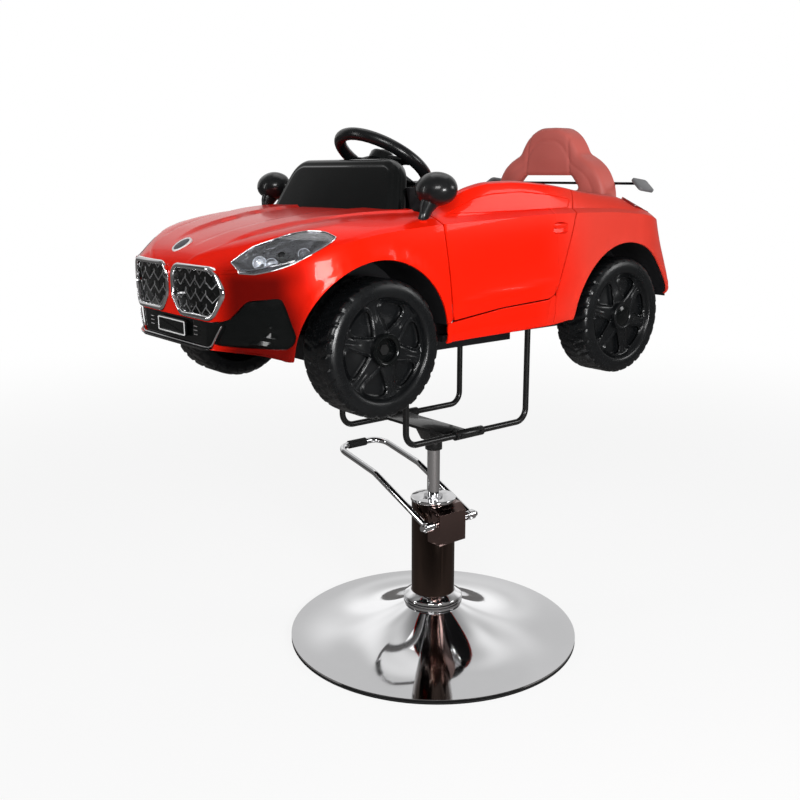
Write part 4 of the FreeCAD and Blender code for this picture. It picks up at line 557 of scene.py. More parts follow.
def makeFloor():
    # white to the camera with the object's shadow on it, dark and dull in reflections
    bpy.ops.mesh.primitive_plane_add(size=2 * stage["floorHalf"], location=(0, 0, 0))
    floor = bpy.context.object
    floor.name = "studioFloor"
    material, tree, sockets, place = newMaterial("paleFloor")
    sockets["Roughness"].default_value = stage["floorRough"]
    path, seen = lightPath(tree)
    tone = mixColour(tree, path["Is Glossy Ray"], stage["floorTone"], stage["mirroredTone"])
    feed(tree, sockets["Base Color"], tone)
    glossy = calculate(tree, "MULTIPLY", path["Is Glossy Ray"], stage["glossyFloor"])
    seen = calculate(tree, "MAXIMUM", seen, glossy)
    reach = addNode(tree, "VectorMath", "Value", (("operation", "LENGTH"),), ((0, place),))
    share = calculate(tree, "MULTIPLY", seen, rangeMap(tree, reach, *stage["fade"], stage["glow"], 1))
    glow = addNode(tree, "Emission", 0, (), (("Color", colour(1, 1, 1)),))
    mix = mixShaders(tree, share, tree.nodes["Principled BSDF"].outputs["BSDF"], glow)
    feed(tree, tree.nodes["Material Output"].inputs["Surface"], mix)
    floor.data.materials.append(material)


def background(tree, strength):
    return addNode(tree, "Background", 0, (), (("Color", colour(1, 1, 1)), ("Strength", strength)))


def makeWorld():
    # white to the camera; in reflections bright behind the object and dark on the camera's side
    world = bpy.data.worlds.new("studio")
    bpy.context.scene.world = world
    world.use_nodes = True
    tree = world.node_tree
    direction = addNode(tree, "TexCoord", "Generated")
    up = splitPlace(tree, direction)["Z"]
    soft = background(tree, rangeMap(tree, up, *stage["overhead"], stage["diffuseSide"], stage["diffuseTop"]))
    towards = addNode(tree, "VectorMath", "Value", (("operation", "DOT_PRODUCT"),),
                      ((0, direction), (1, stage["behind"])))
    level = rangeMap(tree, towards, *stage["behindRange"], stage["glossyDark"], stage["glossyBright"])
    level = calculate(tree, "MAXIMUM", level, rangeMap(tree, up, *stage["skyRange"], 0, stage["glossySky"]))
    streaks = rangeMap(tree, noiseAt(tree, direction, stage["streakScale"], 1), *stage["streaks"])
    mirrored = background(tree, calculate(tree, "MULTIPLY", level, streaks))
    path, seen = lightPath(tree)
    unseen = mixShaders(tree, path["Is Glossy Ray"], soft, mirrored)
    mix = mixShaders(tree, seen, unseen, background(tree, 1))
    feed(tree, tree.nodes["World Output"].inputs["Surface"], mix)


def makeLamps():
    for name, (place, aim, width, height, power) in studioLamps.items():
        data = bpy.data.lights.new(name, "AREA")
        data.shape = "RECTANGLE"
        data.size = width
        data.size_y = height
        data.energy = power
        lamp = newPiece(name, data)
        lamp.location = place
        lamp.rotation_euler = (Vector(aim) - Vector(place)).to_track_quat("-Z", "Y").to_euler()


makeFloor()
makeWorld()
makeLamps()
bpy.context.scene.view_settings.view_transform = "Standard"
print("stage lit")

# The car body's form: stations along the car as shares of its length, half width and height.
form = {
    "nose": 569, "length": 1020, "sill": 680, "tall": 262, "half": 262,
    "noseTaper": .208, "tailHigh": .147, "tailLow": .06, "footWide": .955, "sideWide": .985,
    "waist": .42, "low": .382, "creaseMix": .35, "swell": 1.5, "noseRound": 10, "tailRound": 9,
    "firstShare": .008, "lastShare": .994, "tailFrom": 400, "tailDraw": .893, "spacing": 5,
    "rimCells": 6, "capSteps": 22,
    "crown": ((0, .534), (.026, .614), (.068, .676), (.117, .725), (.166, .763), (.225, .794),
              (.283, .813), (.347, .824), (.411, .935), (.476, .992), (.529, 1), (.608, .981),
              (.70, .935), (.761, .908), (.813, .893), (.864, .863), (.911, .828), (.95, .779),
              (.979, .718), (1, .649)),
    "beltHeight": ((0, .523), (.026, .588), (.054, .637), (.092, .691), (.156, .740), (.223, .775),
                   (.297, .794), (.347, .805), (.372, .840), (.398, .897), (.430, .947), (.476, .977),
                   (.529, .981), (.608, .962), (.673, .931), (.70, .912), (.761, .885), (.813, .866),
                   (.864, .813), (.911, .771), (.940, .725), (.970, .676), (1, .618)),
    "beltWide": ((0, .62), (.068, .74), (.166, .80), (.264, .81), (.347, .82), (.401, .885),
                 (.476, .90), (.607, .90), (.705, .89), (.813, .875), (.891, .86), (.95, .84), (1, .80)),
    "shoulder": ((0, .481), (.048, .519), (.097, .580), (.166, .656), (.234, .702), (.303, .725),
                 (.353, .737), (.509, .76), (.671, .775), (.754, .771), (.852, .748), (.93, .695),
                 (.979, .634), (1, .588)),
    "ledgeRise": ((0, .015), (.264, .023), (.353, .038), (.671, .031), (.852, .023), (1, .015)),
    "ledgeWide": ((0, .97), (.264, .955), (.353, .935), (.671, .94), (.852, .95), (1, .96)),
    "bottom": ((0, .046), (.048, .031), (.087, -.008), (.136, -.015), (.372, 0), (.617, .015),
               (.675, .038), (.93, .122), (1, .183)),
    "creaseWide": ((0, .5), (.068, .55), (.166, .60), (.313, .62), (.347, .62), (.401, .80),
                   (.476, .82), (.607, .82), (.705, .80), (.813, .78), (1, .7)),
    "sideCells": 26, "ledgeCells": 3, "shoulderCells": 16, "hoodCells": 18, "crownCells": 18,
}


def smoothTable(pairs):
    # a smooth curve through the pairs that never overshoots them
    xs = [pair[0] for pair in pairs]
    ys = [pair[1] for pair in pairs]
    steps = [(ys[i + 1] - ys[i]) / (xs[i + 1] - xs[i]) for i in range(len(xs) - 1)]
    slopes = [steps[0]]
    for before, after in zip(steps, steps[1:]):
        slopes.append(0 if before * after <= 0 else 2 * before * after / (before + after))
    slopes.append(steps[-1])

    def at(x):
        if x <= xs[0]:
            return ys[0]
        if x >= xs[-1]:
            return ys[-1]
        i = max(k for k in range(len(steps)) if xs[k] <= x)
        gap = xs[i + 1] - xs[i]
        t = (x - xs[i]) / gap
        return ((2 * t ** 3 - 3 * t ** 2 + 1) * ys[i] + (t ** 3 - 2 * t ** 2 + t) * gap * slopes[i]
                + (3 * t ** 2 - 2 * t ** 3) * ys[i + 1] + (t ** 3 - t ** 2) * gap * slopes[i + 1])
    return at


curves = {key: smoothTable(table) for key, table in form.items() if isinstance(table, tuple)}


def planShare(share, tailTaper):
    front = min(1, share / form["noseTaper"])
    rear = min(1, (1 - share) / tailTaper)
    return (1 - (1 - front) ** 2) ** (1 / 3) * (1 - (1 - rear) ** 2.2) ** (1 / 3.2)


def sectionCorners(share, inset):
    high = (form["half"] - inset) * planShare(share, form["tailHigh"])
    low = (form["half"] - inset) * planShare(share, form["tailLow"])

    def rise(tallShare):
        return form["sill"] + form["tall"] * tallShare

    foot = rise(curves["bottom"](share))
    lowSide = foot + (rise(form["low"]) - foot) * form["creaseMix"]
    shoulder = rise(curves["shoulder"](share))
    ledge = rise(curves["shoulder"](share) + curves["ledgeRise"](share))
    belt = rise(curves["beltHeight"](share))
    mix = form["creaseMix"]
    crease = rise(curves["beltHeight"](share) * mix + curves["crown"](share) * (1 - mix))
    return ((low * form["footWide"], foot), (low * form["sideWide"], lowSide),
            ((low + high) / 2, rise(form["waist"])), (high * form["sideWide"], shoulder - inset / 3),
            (high * curves["ledgeWide"](share), ledge - inset * 2 / 3),
            (high * curves["beltWide"](share), belt - inset),
            (high * curves["creaseWide"](share), crease - inset), (0, rise(curves["crown"](share)) - inset))


def throughPoints(points, t):
    # the even polynomial through three or four points
    total = Vector((0, 0))
    last = len(points) - 1
    for i, point in enumerate(points):
        weight = 1
        for j in range(len(points)):
            if j != i:
                weight *= (t * last - j) / (i - j)
        total += Vector(point) * weight
    return total


def sectionLine(share, inset=0):
    # one half section from the sill up to the middle of the hood
    corners = [Vector(corner) for corner in sectionCorners(share, inset)]
    swell = form["swell"]
    foot, low, waist, shoulder, ledge, belt, crease, crown = corners
    runs = (((foot, low, waist, shoulder), form["sideCells"]), ((shoulder, ledge), form["ledgeCells"]),
            ((ledge, (ledge + belt) / 2 + Vector((swell, swell / 2)), belt), form["shoulderCells"]),
            ((belt, (belt + crease) / 2 + Vector((0, swell)), crease), form["hoodCells"]),
            ((crease, crown, Vector((-crease.x, crease.y))), form["crownCells"]))
    line = []
    for points, cells in runs:
        reach = .5 if points[-1].x < 0 else 1
        line += [throughPoints(points, reach * step / cells) for step in range(cells)]
    line.append(crown)
    return line


def shareAt(x):
    return (x + form["nose"]) / form["length"]


def stationX(share):
    return -form["nose"] + form["length"] * share


def rimArc(radius, turns):
    # how far along and how far in a rounded rim lies at each turn
    return [(radius * math.sin(turn), radius * (1 - math.cos(turn))) for turn in turns]


def stationList():
    # places along the car with the inset that rounds the nose and tail rims
    start = stationX(form["firstShare"]) + form["noseRound"]
    end = stationX(form["lastShare"]) - form["tailRound"]
    cells, count = form["rimCells"], round((end - start) / form["spacing"])
    turns = [math.pi / 2 * step / cells for step in range(cells + 1)]
    stations = [(start - along, inset) for along, inset in rimArc(form["noseRound"], turns[:0:-1])]
    stations += [(start + (end - start) * step / count, 0) for step in range(count)]
    return stations + [(end + along, inset) for along, inset in rimArc(form["tailRound"], turns)]


def capColumns(x, line):
    # columns from the section in to the middle line, for the flat nose and tail
    foot, crown = line[0].y, line[-1].y
    shoulder = form["sideCells"]
    rises = []
    for i, point in enumerate(line):
        share = (i - shoulder) / (len(line) - 1 - shoulder)
        rises.append(point.y if i <= shoulder else line[shoulder].y + (crown - line[shoulder].y) * share)
    columns = []
    for step in range(1, form["capSteps"] + 1):
        share = step / form["capSteps"]
        columns.append([Vector((x, -point.x * (1 - share), point.y + (rise - point.y) * share))
                        for point, rise in zip(line, rises)])
    return columns


def bodyGrid():
    # the outer skin of the left half as one even grid
    stations = stationList()
    lines = [(x, sectionLine(shareAt(x), inset)) for x, inset in stations]
    columns = capColumns(*lines[0])[::-1]
    columns += [[Vector((x, -point.x, point.y)) for point in line] for x, line in lines]
    columns += capColumns(*lines[-1])
    bm = bmesh.new()
    bridge(bm, [[bm.verts.new(point * mm) for point in column] for column in columns], flipped=True)
    bmesh.ops.remove_doubles(bm, verts=bm.verts, dist=.02 * mm)
    bm.normal_update()
    return bm


# Outlines that cut the skin into panels, as fields that are positive inside.
def polygonField(corners, across=0, up=2, margin=.02):
    points = [(a * mm, b * mm) for a, b in corners]
    edges = [(points[i - 1], points[i]) for i in range(len(points))]
    low = (min(p[0] for p in points) - margin, min(p[1] for p in points) - margin)
    high = (max(p[0] for p in points) + margin, max(p[1] for p in points) + margin)

    def at(co):
        x, y = co[across], co[up]
        if not (low[0] < x < high[0] and low[1] < y < high[1]):
            return -margin
        inside = False
        best = 9
        for (ax, ay), (bx, by) in edges:
            ex, ey = bx - ax, by - ay
            share = min(1, max(0, ((x - ax) * ex + (y - ay) * ey) / (ex * ex + ey * ey)))
            dx, dy = x - ax - ex * share, y - ay - ey * share
            best = min(best, dx * dx + dy * dy)
            if (ay > y) != (by > y) and x < (bx - ax) * (y - ay) / (by - ay) + ax:
                inside = not inside
        return math.sqrt(best) if inside else -math.sqrt(best)
    return at


def outside(field):
    return lambda co: -field(co)


def allOf(*fields):
    return lambda co: min(field(co) for field in fields)


def beyond(axis, place, sign):
    return lambda co: (co[axis] - place * mm) * sign


def snapOutline(bm, field):
    # pulls the nearest grid points on to the field's zero line and splits the faces along it
    value = {vert: field(vert.co) for vert in bm.verts}
    moves = {}
    for edge in bm.edges:
        a, b = edge.verts
        if value[a] * value[b] < 0:
            share = value[a] / (value[a] - value[b])
            near, far = (a, b) if share < .5 else (b, a)
            share = min(share, 1 - share)
            reach = share * edge.calc_length()
            if near not in moves or reach < moves[near][0]:
                moves[near] = (reach, near.co.lerp(far.co, share))
    for vert, (reach, place) in moves.items():
        vert.co = place
        value[vert] = 0
    for face in list(bm.faces):
        signs = [value[vert] for vert in face.verts]
        if max(signs) > 0 > min(signs):
            zeros = [vert for vert in face.verts if value[vert] == 0]
            if len(zeros) > 1:
                bmesh.utils.face_split(face, zeros[0], zeros[1])
    inner, outer = [], []
    for face in bm.faces:
        extreme = max((value[vert] for vert in face.verts), key=abs)
        if extreme == 0:
            extreme = field(face.calc_center_median())
        (inner if extreme > 0 else outer).append(face)
    return inner, outer


def carve(bm, field):
    gone = snapOutline(bm, field)[1]
    bmesh.ops.delete(bm, geom=gone, context="FACES")


def dishIn(bm, field, width, depth):
    # a crisp recessed or raised panel: the faces inside the field step in over the width
    inner = snapOutline(bm, field)[0]
    bm.normal_update()
    bmesh.ops.inset_region(bm, faces=inner, thickness=width * mm, depth=-depth * mm, use_even_offset=True)


def sidePlace(pair, back=0, up=0):
    return stationX(pair[0]) + back, form["sill"] + form["tall"] * pair[1] + up


door = {
    "front": ((.345, 1.2), (.345, .783), (.353, .737), (.3765, .126)),
    "foot": ((.486, .172), (.605, .195)),
    "rear": ((.6225, .237), (.6705, .775), (.679, .908), (.683, 1.2)),
    "gap": 2.5, "jointGap": 1, "seam": -198, "slabHalf": 222,
}
arch = {"radius": 141, "frontX": -335, "rearX": 262, "height": 683, "inner": 150, "lip": 1.6, "lipWide": 9}
cockpit = {"front": -217, "back": 358, "half": 205, "corner": 40, "low": 796}
lamp = {
    "plan": ((.032, .573), (.062, .618), (.087, .683), (.117, .729), (.138, .771), (.154, .832),
             (.161, .916)),
    "side": ((.161, .687), (.142, .649), (.117, .603), (.090, .546), (.067, .511), (.047, .489),
             (.032, .492)),
}
vent = {"outline": ((.007, .070), (.085, .060), (.093, .122), (.0814, .282), (.0755, .359), (.038, .340),
                    (.0216, .2175), (.007, .200)), "half": 120}
lip = {"top": 733, "bottom": 672, "topHalf": 150, "bottomHalf": 104, "depth": 60, "lineLow": 693}
kidney = {
    "outline": ((0, 1), (.87, 1), (1, .52), (.82, 0), (.17, 0), (0, .34)),
    "inner": 7, "outer": 153, "top": 818, "bottom": 735, "corner": 24,
}
farAway = 2000


def doorOutline(gap):
    points = [sidePlace(pair, gap) for pair in door["front"][:3]]
    points.append(sidePlace(door["front"][3], gap, gap))
    points += [sidePlace(pair, 0, gap) for pair in door["foot"]]
    return points + [sidePlace(pair, -gap) for pair in door["rear"]]


def archField():
    # positive inside either wheel arch
    def at(co):
        if abs(co.y) < arch["inner"] * mm:
            return -.02
        best = -9
        for x in (arch["frontX"], arch["rearX"]):
            reach = arch["radius"] * mm - math.hypot(co.x - x * mm, co.z - arch["height"] * mm)
            best = max(best, reach)
        return best
    return at


def cockpitField():
    middle = (cockpit["front"] + cockpit["back"]) / 2 * mm
    halfLong = (cockpit["back"] - cockpit["front"]) / 2 * mm
    half, corner = cockpit["half"] * mm, cockpit["corner"] * mm

    def at(co):
        if co.z < cockpit["low"] * mm:
            return -.02
        across = abs(co.x - middle) - halfLong + corner
        deep = abs(co.y) - half + corner
        outer = math.hypot(max(across, 0), max(deep, 0))
        return corner - outer - min(max(across, deep), 0)
    return at


def lampField(margin=0):
    plan = [(stationX(a), -form["half"] * b - margin) for a, b in lamp["plan"]]
    plan += [(plan[-1][0], -farAway), (plan[0][0], -farAway)]
    side = [(stationX(a), form["sill"] + form["tall"] * b + margin) for a, b in lamp["side"]]
    side += [(side[-1][0] - margin, farAway), (side[0][0] + margin, farAway)]
    return allOf(polygonField(plan, 0, 1), polygonField(side), beyond(1, 0, -1))


def ventField(margin=0):
    points = [sidePlace(pair) for pair in vent["outline"]]
    return allOf(polygonField(flatOutline(points, 8)), beyond(1, -vent["half"] + margin, -1))


def lipField(margin=0):
    points = [(-lip["bottomHalf"] + margin, lip["bottom"] + margin),
              (lip["bottomHalf"] - margin, lip["bottom"] + margin),
              (lip["topHalf"] - margin, lip["top"] - margin), (-lip["topHalf"] + margin, lip["top"] - margin)]
    return allOf(polygonField(points, 1, 2), beyond(0, -form["nose"] + lip["depth"], -1))


def kidneyCorners(inset):
    wide = kidney["outer"] - kidney["inner"]
    tall = kidney["top"] - kidney["bottom"]
    middle = Vector((wide / 2, tall / 2, 0))
    corners = []
    for across, up in kidney["outline"]:
        corner = Vector((wide * across, tall * up, 0))
        corners.append(corner + (middle - corner).normalized() * inset * math.sqrt(2))
    return corners


def kidneyOutline(inset):
    return [(point.x, point.y) for point in filletPoints(kidneyCorners(inset), kidney["corner"] - inset, 8)]


def kidneyField():
    # the hole behind the left kidney, seen square to the swept nose
    points = [(-(kidney["inner"] + a), kidney["bottom"] + b) for a, b in kidneyOutline(2.2)]
    return allOf(polygonField(points, 1, 2), beyond(0, -500, -1))


def frontRegion():
    top = sidePlace(door["front"][3])
    points = [(-farAway, -farAway), (door["seam"], -farAway), (door["seam"], top[1])]
    points += [sidePlace(pair) for pair in door["front"][::-1]] + [(-farAway, sidePlace(door["front"][0])[1])]
    return polygonField(points)


def rearRegion():
    start = sidePlace(door["rear"][0])
    points = [(start[0], -farAway)] + [sidePlace(pair) for pair in door["rear"]]
    points += [(farAway, sidePlace(door["rear"][3])[1]), (farAway, -farAway)]
    return polygonField(points)


def sillRegion():
    gap = door["jointGap"]
    front = door["seam"] + gap
    top = sidePlace(door["front"][3], 0, -gap)
    start = sidePlace(door["rear"][0], -gap)
    points = [(front, -farAway), (front, top[1]), top] + [sidePlace(pair) for pair in door["foot"]]
    return polygonField(points + [start, (start[0], -farAway)])


def step01(value, low, high):
    share = min(1, max(0, (value - low) / (high - low)))
    return share * share * (3 - 2 * share)


def bump(away, width):
    # a soft ridge, 1 on its line
    return math.exp(-(away / width) ** 2)


def lineReach(x, y, start, end):
    # how far a plan point lies beside a line
    ex, ey = end[0] - start[0], end[1] - start[1]
    return ((x - start[0]) * ey - (y - start[1]) * ex) / math.hypot(ex, ey)


relief = {
    "archSide": 190, "archReach": 40, "archSoft": 3,
    "bulgeTall": 3.6, "innerStart": (-540, 39), "innerEnd": (-236, 98), "outerStart": (-540, 103),
    "outerEnd": (-236, 200), "bulgeSoft": 3.2, "hoodBack": -225, "hoodLow": 820, "hoodFade": (-545, -470),
    "grooveDeep": 1.2, "grooveIn": 4, "grooveWide": 4,
    "sideFrom": 200, "scoopX": -52, "scoopZ": 790, "scoopLean": .10, "scoopLong": 118, "scoopTall": 34,
    "scoopDeep": 4.0, "scoopSpan": (-190, 120),
    "creaseX": -60, "creaseZ": 748, "creaseLean": .07, "creaseTall": 2.6, "creaseWide": 7, "creaseUnder": .55,
    "creaseFront": (-186, -150), "creaseRear": (85, 40),
    "sillX": -190, "sillZ": 694, "sillLean": .06, "sillTall": 2.2, "sillSoft": 6, "sillTop": 722,
    "sillSpan": (-200, 125),
}


def bodyRelief(co):
    # how far the skin stands out from the plain form at a point, in millimetres
    x, y, z = co.x / mm, abs(co.y) / mm, co.z / mm
    out = 0
    for archX in (arch["frontX"], arch["rearX"]):
        reach = math.hypot(x - archX, z - arch["height"]) - arch["radius"]
        if y > relief["archSide"] and reach < relief["archReach"]:
            out += arch["lip"] * step01(reach, arch["lipWide"] + relief["archSoft"], arch["lipWide"])
    if x < relief["hoodBack"] and z > relief["hoodLow"]:
        inner = lineReach(x, y, relief["innerStart"], relief["innerEnd"])
        outer = lineReach(x, y, relief["outerStart"], relief["outerEnd"])
        soft = relief["bulgeSoft"]
        fade = step01(x, *relief["hoodFade"])
        out += relief["bulgeTall"] * step01(-inner, -soft, soft) * step01(outer, -soft, soft) * fade
        out -= relief["grooveDeep"] * bump(inner - relief["grooveIn"], relief["grooveWide"]) * fade
    if relief["scoopSpan"][0] < x < relief["scoopSpan"][1] and y > relief["sideFrom"]:
        lean = z - relief["scoopZ"] - (x - relief["scoopX"]) * relief["scoopLean"]
        across = (x - relief["scoopX"]) / relief["scoopLong"]
        out -= relief["scoopDeep"] * math.exp(-across ** 4) * bump(lean, relief["scoopTall"])
        lower = z - relief["creaseZ"] - (x - relief["creaseX"]) * relief["creaseLean"]
        side = relief["creaseWide"] * (1 if lower > 0 else relief["creaseUnder"])
        ends = step01(x, *relief["creaseFront"]) * step01(x, *relief["creaseRear"])
        out += relief["creaseTall"] * bump(lower, side) * ends
    if relief["sillSpan"][0] < x < relief["sillSpan"][1] and y > relief["sideFrom"] and z < relief["sillTop"]:
        low = z - relief["sillZ"] - (x - relief["sillX"]) * relief["sillLean"]
        out += relief["sillTall"] * step01(low, relief["sillSoft"], 0)
    return out


def raiseRelief(bm):
    bm.normal_update()
    for vert in bm.verts:
        vert.co += vert.normal * bodyRelief(vert.co) * mm
        if abs(vert.co.y) < .02 * mm:
            vert.co.y = 0


# how far each part of the skin runs along the car
spans = {
    "frontBody": (-600, -160), "rearBody": (30, 460), "tailLens": (380, 460), "deckLamp": (260, 380),
    "sill": (-205, 130), "door": (-225, 140), "lamp": (-560, -390), "vent": (-575, -460), "lip": (-575, -505),
}


def skinPart(name, *fields):
    # a copy of the half skin over its span, carved by its outlines
    bm = bmesh.new()
    bm.from_mesh(skinMesh)
    low, high = (place * mm for place in spans[name])
    gone = [vert for vert in bm.verts if not low <= vert.co.x <= high]
    bmesh.ops.delete(bm, geom=gone, context="VERTS")
    for field in fields:
        carve(bm, field)
    bm.normal_update()
    return bm


def mirrorHalf(bm):
    # the right half, joined on the middle plane
    faces = list(bm.faces)
    twin = {}
    for vert in list(bm.verts):
        onPlane = abs(vert.co.y) < .01 * mm
        twin[vert] = vert if onPlane else bm.verts.new((vert.co.x, -vert.co.y, vert.co.z))
    for face in faces:
        other = [twin[vert] for vert in reversed(face.verts)]
        if set(other) != set(face.verts):
            bm.faces.new(other)


def areaNormals(bm):
    # thin cut faces hardly count, so they do not throw the wall out
    bm.normal_update()
    normals = {vert: Vector() for vert in bm.verts}
    for face in bm.faces:
        weighted = face.normal * face.calc_area()
        for vert in face.verts:
            normals[vert] += weighted
    return {vert: total.normalized() for vert, total in normals.items()}


def rimInward(bm, normals):
    # at each rim point the way into the panel along its surface
    inward = {}
    for edge in boundary(bm):
        a, b = edge.verts
        side = (normals[a] + normals[b]).cross(b.co - a.co).normalized()
        if side.dot(edge.link_faces[0].calc_center_median() - (a.co + b.co) / 2) < 0:
            side = -side
        for vert in edge.verts:
            inward[vert] = inward.get(vert, Vector()) + side
    return {vert: side.normalized() for vert, side in inward.items()}


def rollRim(bm, normals, profile, edge):
    # rounds the rim of a skin and carries it on through steps of inset and depth
    inward = rimInward(bm, normals)
    pairs = [tuple(edge.verts) for edge in boundary(bm)]
    chains = {}
    for vert, side in inward.items():
        base = vert.co.copy()
        chain = [vert]
        for inset, deep in profile:
            chain.append(bm.verts.new(base + side * inset * mm - normals[vert] * deep * mm))
        vert.co = base + side * edge * mm
        chains[vert] = chain
    for a, b in pairs:
        for i in range(len(profile)):
            bm.faces.new((chains[a][i], chains[b][i], chains[b][i + 1], chains[a][i + 1]))
    return chains


def thicken(bm, wall, edge):
    # a moulded wall with rounded rims, inwards from the skin
    normals = areaNormals(bm)
    faces = list(bm.faces)
    skin = list(bm.verts)
    soft = .3 * edge
    profile = ((soft, soft), (0, edge), (0, wall - edge), (soft, wall - soft), (edge, wall))
    chains = rollRim(bm, normals, profile, edge)
    inner = {}
    for vert in skin:
        if vert in chains:
            inner[vert] = chains[vert][-1]
        else:
            inner[vert] = bm.verts.new(vert.co - normals[vert] * wall * mm)
    for face in faces:
        bm.faces.new([inner[vert] for vert in reversed(face.verts)])
    bmesh.ops.recalc_face_normals(bm, faces=bm.faces)


def shellFrom(name, bm, wall=4, edge=.9):
    mirrorHalf(bm)
    thicken(bm, wall, edge)
    piece = pieceFromMesh(name, bm)
    evenShading(piece)
    return piece


def makeSkin():
    bm = bodyGrid()
    raiseRelief(bm)
    start = form["tailFrom"] * mm
    for vert in bm.verts:
        if vert.co.x > start:
            vert.co.x = start + (vert.co.x - start) * form["tailDraw"]
    mesh = bpy.data.meshes.new("skin")
    bm.to_mesh(mesh)
    bm.free()
    return mesh


skinMesh = makeSkin()
print("skin formed")

holeFields = {"arch": outside(archField()), "cockpit": outside(cockpitField())}


def makeFrontBody():
    bm = skinPart("frontBody", frontRegion(), holeFields["arch"], holeFields["cockpit"],
                  outside(lampField()), outside(ventField()), outside(lipField()), outside(kidneyField()))
    shell = shellFrom("frontPanel", bm, 4, .8)
    wear(shell, "car", "body_paint", bodyPaint, "front_body")


tailLamp = {"front": 396, "side": 90, "low": 800, "high": 842, "gap": 1, "wall": 3}


def tailLampField(gap=0):
    # positive inside the opening, or inside the lens with its gap all round
    return allOf(beyond(0, tailLamp["front"] + gap, 1), beyond(1, -tailLamp["side"] - gap, -1),
                 beyond(2, tailLamp["low"] + gap, 1), beyond(2, tailLamp["high"] - gap, -1))


def makeRearBody():
    bm = skinPart("rearBody", rearRegion(), holeFields["arch"], holeFields["cockpit"],
                  outside(tailLampField()))
    wear(shellFrom("rearPanel", bm), "car", "body_paint", bodyPaint, "rear_body")
    lens = skinPart("tailLens", tailLampField(tailLamp["gap"]))
    wear(shellFrom("tailLenses", lens, tailLamp["wall"], .6), "car", "tail_lamp_red", tailRed, "tail_lamps")


deckLamp = {"plan": ((284, -226), (300, -243), (350, -238), (362, -224), (336, -208), (296, -212)),
            "round": 5, "low": 860, "lift": 1.2, "rise": 3.5, "risen": (340, 300), "wall": 7.5}


def makeDeckLamps():
    # dark red wedges that run forward along the shoulders of the tail
    plan = flatOutline(deckLamp["plan"], deckLamp["round"])
    bm = skinPart("deckLamp", polygonField(plan, 0, 1), beyond(2, deckLamp["low"], 1))
    for vert, normal in areaNormals(bm).items():
        rise = deckLamp["rise"] * step01(vert.co.x / mm, *deckLamp["risen"])
        vert.co += normal * (deckLamp["lift"] + rise) * mm
    wear(shellFrom("deckLamps", bm, deckLamp["wall"], .8), "car", "tail_lamp_red", tailRed)


def makeSills():
    bm = skinPart("sill", sillRegion(), holeFields["arch"])
    wear(shellFrom("sillPanels", bm), "car", "body_paint", bodyPaint, "sill_panels")


doorTrim = {
    "recess": ((-186, 889), (-166, 898), (-122, 914), (-86, 920), (-16, 923), (56, 917), (112, 908),
               (104, 892), (-60, 889)),
    "recessHalf": 200, "recessWide": 1.4, "recessDeep": 2.2,
    # the finger bowl's rings: share of the oval and depth
    "bowl": ((.97, .5), (.93, 2), (.88, 5), (.78, 6.6), (.4, 7.2)),
    "handleX": 70, "handleZ": 858, "handleLong": 28, "handleTall": 11,
}


def handleField(co):
    long, tall = doorTrim["handleLong"], doorTrim["handleTall"]
    across = (co.x / mm - doorTrim["handleX"]) / long
    up = (co.z / mm - doorTrim["handleZ"]) / tall
    return (1 - math.hypot(across, up)) * tall * mm


def sinkHandle(bm):
    # a smooth finger bowl: rings drawn in from the oval to its floor
    gone = snapOutline(bm, handleField)[0]
    rim = {vert for face in gone for vert in face.verts if any(f not in gone for f in vert.link_faces)}
    edges = [edge for edge in bm.edges if edge.verts[0] in rim and edge.verts[1] in rim
             and len([f for f in edge.link_faces if f in gone]) == 1]
    bmesh.ops.delete(bm, geom=gone, context="FACES")
    middle = sum((vert.co for vert in rim), Vector()) / len(rim)
    before, sunk = 1, 0
    for share, deep in doorTrim["bowl"]:
        made = bmesh.ops.extrude_edge_only(bm, edges=edges)["geom"]
        edges = [item for item in made if isinstance(item, bmesh.types.BMEdge)]
        drawn = share / before
        for vert in {vert for edge in edges for vert in edge.verts}:
            vert.co.x = middle.x + (vert.co.x - middle.x) * drawn
            vert.co.z = middle.z + (vert.co.z - middle.z) * drawn
            vert.co.y += (deep - sunk) * mm
        before, sunk = share, deep
    bmesh.ops.contextual_create(bm, geom=edges)


handle = {"long": 44, "tall": 8.5, "thick": 5, "corner": 4, "place": (66, -258.2, 861.5), "tilt": 1.5}


def makeHandle():
    thick = handle["thick"]
    outline = roundedBox(handle["long"], handle["tall"], handle["corner"], 6)
    profile = ((1.6, -thick), (0, -thick + 1), (0, -1.6), (.5, -.6), (1.6, 0))
    flap = sweepOutline("handleFlap", outline, profile, filled=True)
    upright = axesMatrix((1, 0, 0), (0, 0, 1), (0, -1, 0), (0, 0, 0), mm)
    moveMesh(flap, turnedPlace(handle["place"], handle["tilt"]) @ upright)
    smooth(flap, 40)
    wear(flap, "door_left", "body_paint", bodyPaint)
    wear(mirroredCopy(flap, "handleFlapRight"), "door_right", "body_paint", bodyPaint)


def makeDoor():
    outline = polygonField(doorOutline(door["gap"]))
    bm = skinPart("door", outline, beyond(1, -door["slabHalf"], -1))
    recess = allOf(polygonField(doorTrim["recess"]), beyond(1, -doorTrim["recessHalf"], -1))
    dishIn(bm, recess, doorTrim["recessWide"], doorTrim["recessDeep"])
    sinkHandle(bm)
    chains = rollRim(bm, areaNormals(bm), ((.27, .27), (0, .9), (0, 2)), .9)
    for chain in chains.values():
        chain[-1].co.y = -door["slabHalf"] * mm
    bmesh.ops.contextual_create(bm, geom=boundary(bm))
    bmesh.ops.recalc_face_normals(bm, faces=bm.faces)
    slab = pieceFromMesh("doorLeftPanel", bm)
    evenShading(slab)
    wear(slab, "door_left", "body_paint", bodyPaint, "door_left")
    wear(mirroredCopy(slab, "doorRightPanel"), "door_right", "body_paint", bodyPaint, "door_right")


